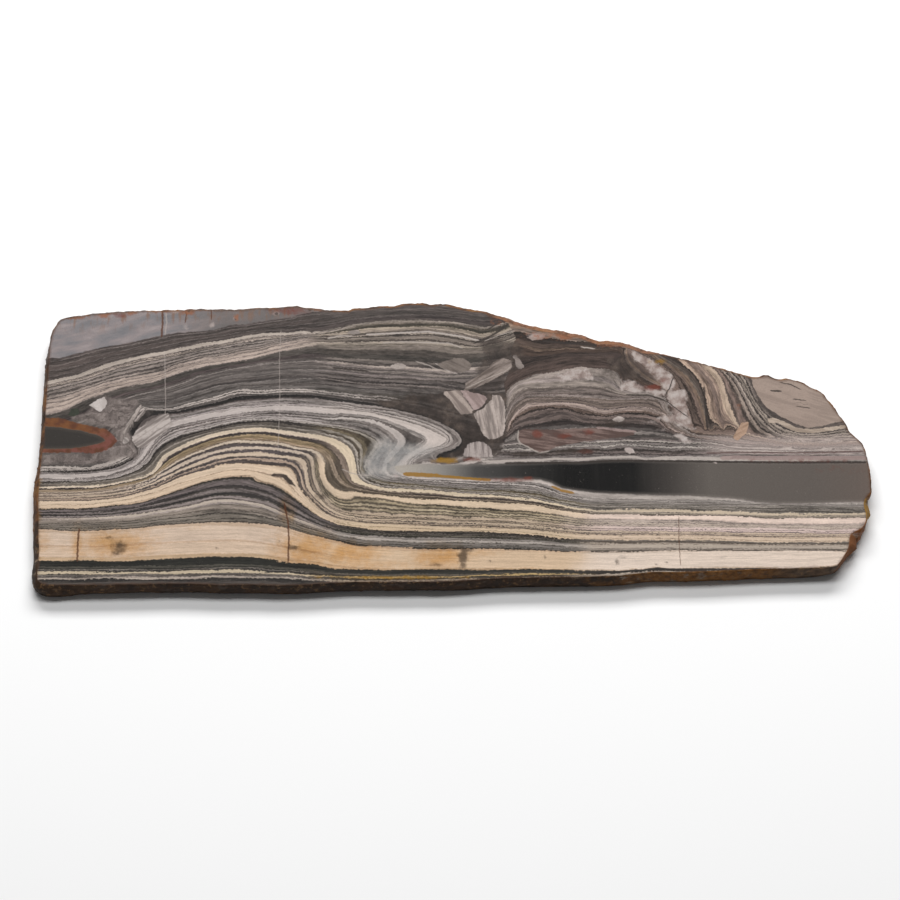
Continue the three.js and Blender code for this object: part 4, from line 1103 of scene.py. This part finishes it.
def build_slice(settings):
    """The slab: the CAD solid with a fine face, a rough wall, and its pattern and materials."""
    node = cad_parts["slice"]
    data = node.data.copy()
    data.name = "banded_slab"
    data.materials.clear()
    shape = bmesh.new()
    shape.from_mesh(data)
    bmesh.ops.remove_doubles(shape, verts=shape.verts, dist=1e-6)
    top = max(v.co.z for v in shape.verts)
    flat = {f for f in shape.faces if abs(f.normal.z) > 0.999 and min(top - f.verts[0].co.z, f.verts[0].co.z) < 1e-6}
    wall = [f for f in shape.faces if f not in flat]
    wall_edges = list({e for f in wall for e in f.edges})
    bmesh.ops.subdivide_edges(shape, edges=wall_edges, cuts=1, use_grid_fill=True)
    face = flat_side(shape, top)[0]
    back = flat_side(shape, 0.0)[0]
    rim = rim_points(face)
    wall = [f for f in shape.faces if f not in (face, back)]
    roughen(shape, wall, top, settings.wall_lumps)
    for part in wall:
        part.material_index = 1
        part.smooth = True
    face.material_index = 0
    back.material_index = 2
    face.smooth = back.smooth = False
    grid_faces(shape, [face], settings.face_pitch)
    grid_faces(shape, [back], settings.back_pitch)
    shape.normal_update()
    shape.to_mesh(data)
    shape.free()
    draw_pattern(data, rim)
    slab = bpy.data.objects.new("banded_slab", data)
    bpy.context.collection.objects.link(slab)
    pattern = pattern_group(settings, beds_group(settings))
    for material in (polished_material(pattern), rind_material(pattern, settings), sawn_material(pattern)):
        data.materials.append(material)
    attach(slab, "root")
    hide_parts("slice")
    return slab


def build_stage(settings):
    """A pale floor, a soft light from behind and above, and the photograph's camera."""
    scene = bpy.context.scene
    data = bpy.data.meshes.new("Floor")
    shape = bmesh.new()
    bmesh.ops.create_grid(shape, x_segments=1, y_segments=1, size=settings.floor_size)
    shape.to_mesh(data)
    shape.free()
    floor = bpy.data.objects.new("Floor", data)
    floor.location.z = -0.02 * MM
    scene.collection.objects.link(floor)
    material, _, surface = new_material("Pale floor")
    surface.inputs["Base Color"].default_value = (0.92, 0.92, 0.92, 1.0)
    surface.inputs["Roughness"].default_value = 0.9
    surface.inputs["Specular IOR Level"].default_value = 0.1
    data.materials.append(material)
    world = bpy.data.worlds.new("Studio")
    world.use_nodes = True
    background = world.node_tree.nodes["Background"]
    background.inputs["Color"].default_value = (1.0, 1.0, 1.0, 1.0)
    background.inputs["Strength"].default_value = settings.fill
    scene.world = world
    for name, place, height, share in SOFT_LIGHTS:
        lamp = bpy.data.lights.new(name, "AREA")
        lamp.shape = "RECTANGLE"
        lamp.size = settings.light_width
        lamp.size_y = height
        lamp.energy = share * settings.light_power
        light = bpy.data.objects.new(name, lamp)
        light.location = Vector(place)
        light.rotation_euler = (-light.location).to_track_quat("-Z", "Y").to_euler()
        scene.collection.objects.link(light)
    camera_data = bpy.data.cameras.new("Camera")
    camera_data.sensor_width = 36.0
    camera_data.lens = settings.lens
    camera_data.clip_end = 20.0
    camera = bpy.data.objects.new("Camera", camera_data)
    target = Vector((0.0, settings.aim_y, 7.0 * MM))
    tilt = settings.camera_elevation
    back = Vector((0.0, -np.cos(tilt), np.sin(tilt)))
    camera.location = target + back * settings.camera_distance
    camera.rotation_euler = (-back).to_track_quat("-Z", "Y").to_euler()
    scene.collection.objects.link(camera)
    scene.camera = camera
    scene.view_settings.view_transform = "Standard"
    return floor


class StoneSettings(bpy.types.PropertyGroup):
    """The slab's looks."""

    face_pitch: bpy.props.FloatProperty(
        name="Face pitch", description="Spacing of the grid on the polished face", default=0.00066, unit="LENGTH"
    )
    back_pitch: bpy.props.FloatProperty(
        name="Back pitch", description="Spacing of the grid on the sawn back", default=0.0025, unit="LENGTH"
    )
    wall_lumps: bpy.props.FloatProperty(
        name="Wall lumps", description="Height of the small lumps of the wall, in millimetres", default=0.3
    )
    rind_relief: bpy.props.FloatProperty(
        name="Rind relief", description="Depth of the fine relief of the rind, in millimetres", default=0.5
    )
    raggedness: bpy.props.FloatProperty(
        name="Raggedness", description="How far the beds' borders stray, in millimetres", default=1.5
    )
    swell: bpy.props.FloatProperty(
        name="Swell", description="How much the beds pinch and swell, in millimetres", default=1.6
    )
    lamina_contrast: bpy.props.FloatProperty(
        name="Lamina contrast", description="Strength of the finest laminae", default=0.72, subtype="FACTOR"
    )
    grain: bpy.props.FloatProperty(
        name="Grain", description="Strength of the fine grain", default=0.45, subtype="FACTOR"
    )
    brightness: bpy.props.FloatProperty(
        name="Brightness", description="Multiplies the stone's colours", default=0.74
    )


class StageSettings(bpy.types.PropertyGroup):
    """The floor, light and camera."""

    floor_size: bpy.props.FloatProperty(
        name="Floor size", description="Half the width of the floor", default=3.0, unit="LENGTH"
    )
    fill: bpy.props.FloatProperty(name="Fill", description="Strength of the light from all sides", default=0.1)
    light_power: bpy.props.FloatProperty(
        name="Light power", description="Power of the soft light, in watts", default=29.4
    )
    light_width: bpy.props.FloatProperty(
        name="Light width", description="Width of the soft light", default=1.4, unit="LENGTH"
    )
    lens: bpy.props.FloatProperty(name="Lens", description="Focal length of the camera, in millimetres", default=145.64)
    camera_distance: bpy.props.FloatProperty(
        name="Camera distance", description="From the camera to the face", default=1.3, unit="LENGTH"
    )
    camera_elevation: bpy.props.FloatProperty(
        name="Camera elevation", description="Angle above the table", default=1.0471976, subtype="ANGLE"
    )
    aim_y: bpy.props.FloatProperty(
        name="Aim", description="Where on the face the camera looks, across the beds", default=-0.0039, unit="LENGTH"
    )


class STONE_OT_slice(bpy.types.Operator):
    """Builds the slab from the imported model"""

    bl_idname = "stone.slice"
    bl_label = "Build slab"

    def execute(self, context):
        build_slice(context.scene.stone_settings)
        return {"FINISHED"}


class STONE_OT_stage(bpy.types.Operator):
    """Builds the floor, the light and the camera"""

    bl_idname = "stone.stage"
    bl_label = "Build stage"

    def execute(self, context):
        build_stage(context.scene.stage_settings)
        return {"FINISHED"}


class STONE_PT_panel(bpy.types.Panel):
    """Settings and buttons in the sidebar."""

    bl_label = "Stromatolite slice"
    bl_space_type = "VIEW_3D"
    bl_region_type = "UI"
    bl_category = "Stone"

    def draw(self, context):
        for owner, operator in (("stone_settings", "stone.slice"), ("stage_settings", "stone.stage")):
            settings = getattr(context.scene, owner)
            for name in settings.__annotations__:
                self.layout.prop(settings, name)
            self.layout.operator(operator)


CLASSES = (StoneSettings, StageSettings, STONE_OT_slice, STONE_OT_stage, STONE_PT_panel)


def register():
    """Adds the add-on's classes and settings."""
    for item in CLASSES:
        bpy.utils.register_class(item)
    bpy.types.Scene.stone_settings = bpy.props.PointerProperty(type=StoneSettings)
    bpy.types.Scene.stage_settings = bpy.props.PointerProperty(type=StageSettings)


def unregister():
    """Takes the add-on's classes and settings away."""
    del bpy.types.Scene.stage_settings
    del bpy.types.Scene.stone_settings
    for item in reversed(CLASSES):
        bpy.utils.unregister_class(item)


def main():
    """Builds the slab and its stage."""
    register()
    bpy.ops.stone.slice()
    bpy.ops.stone.stage()


if __name__ == "__main__":
    main()
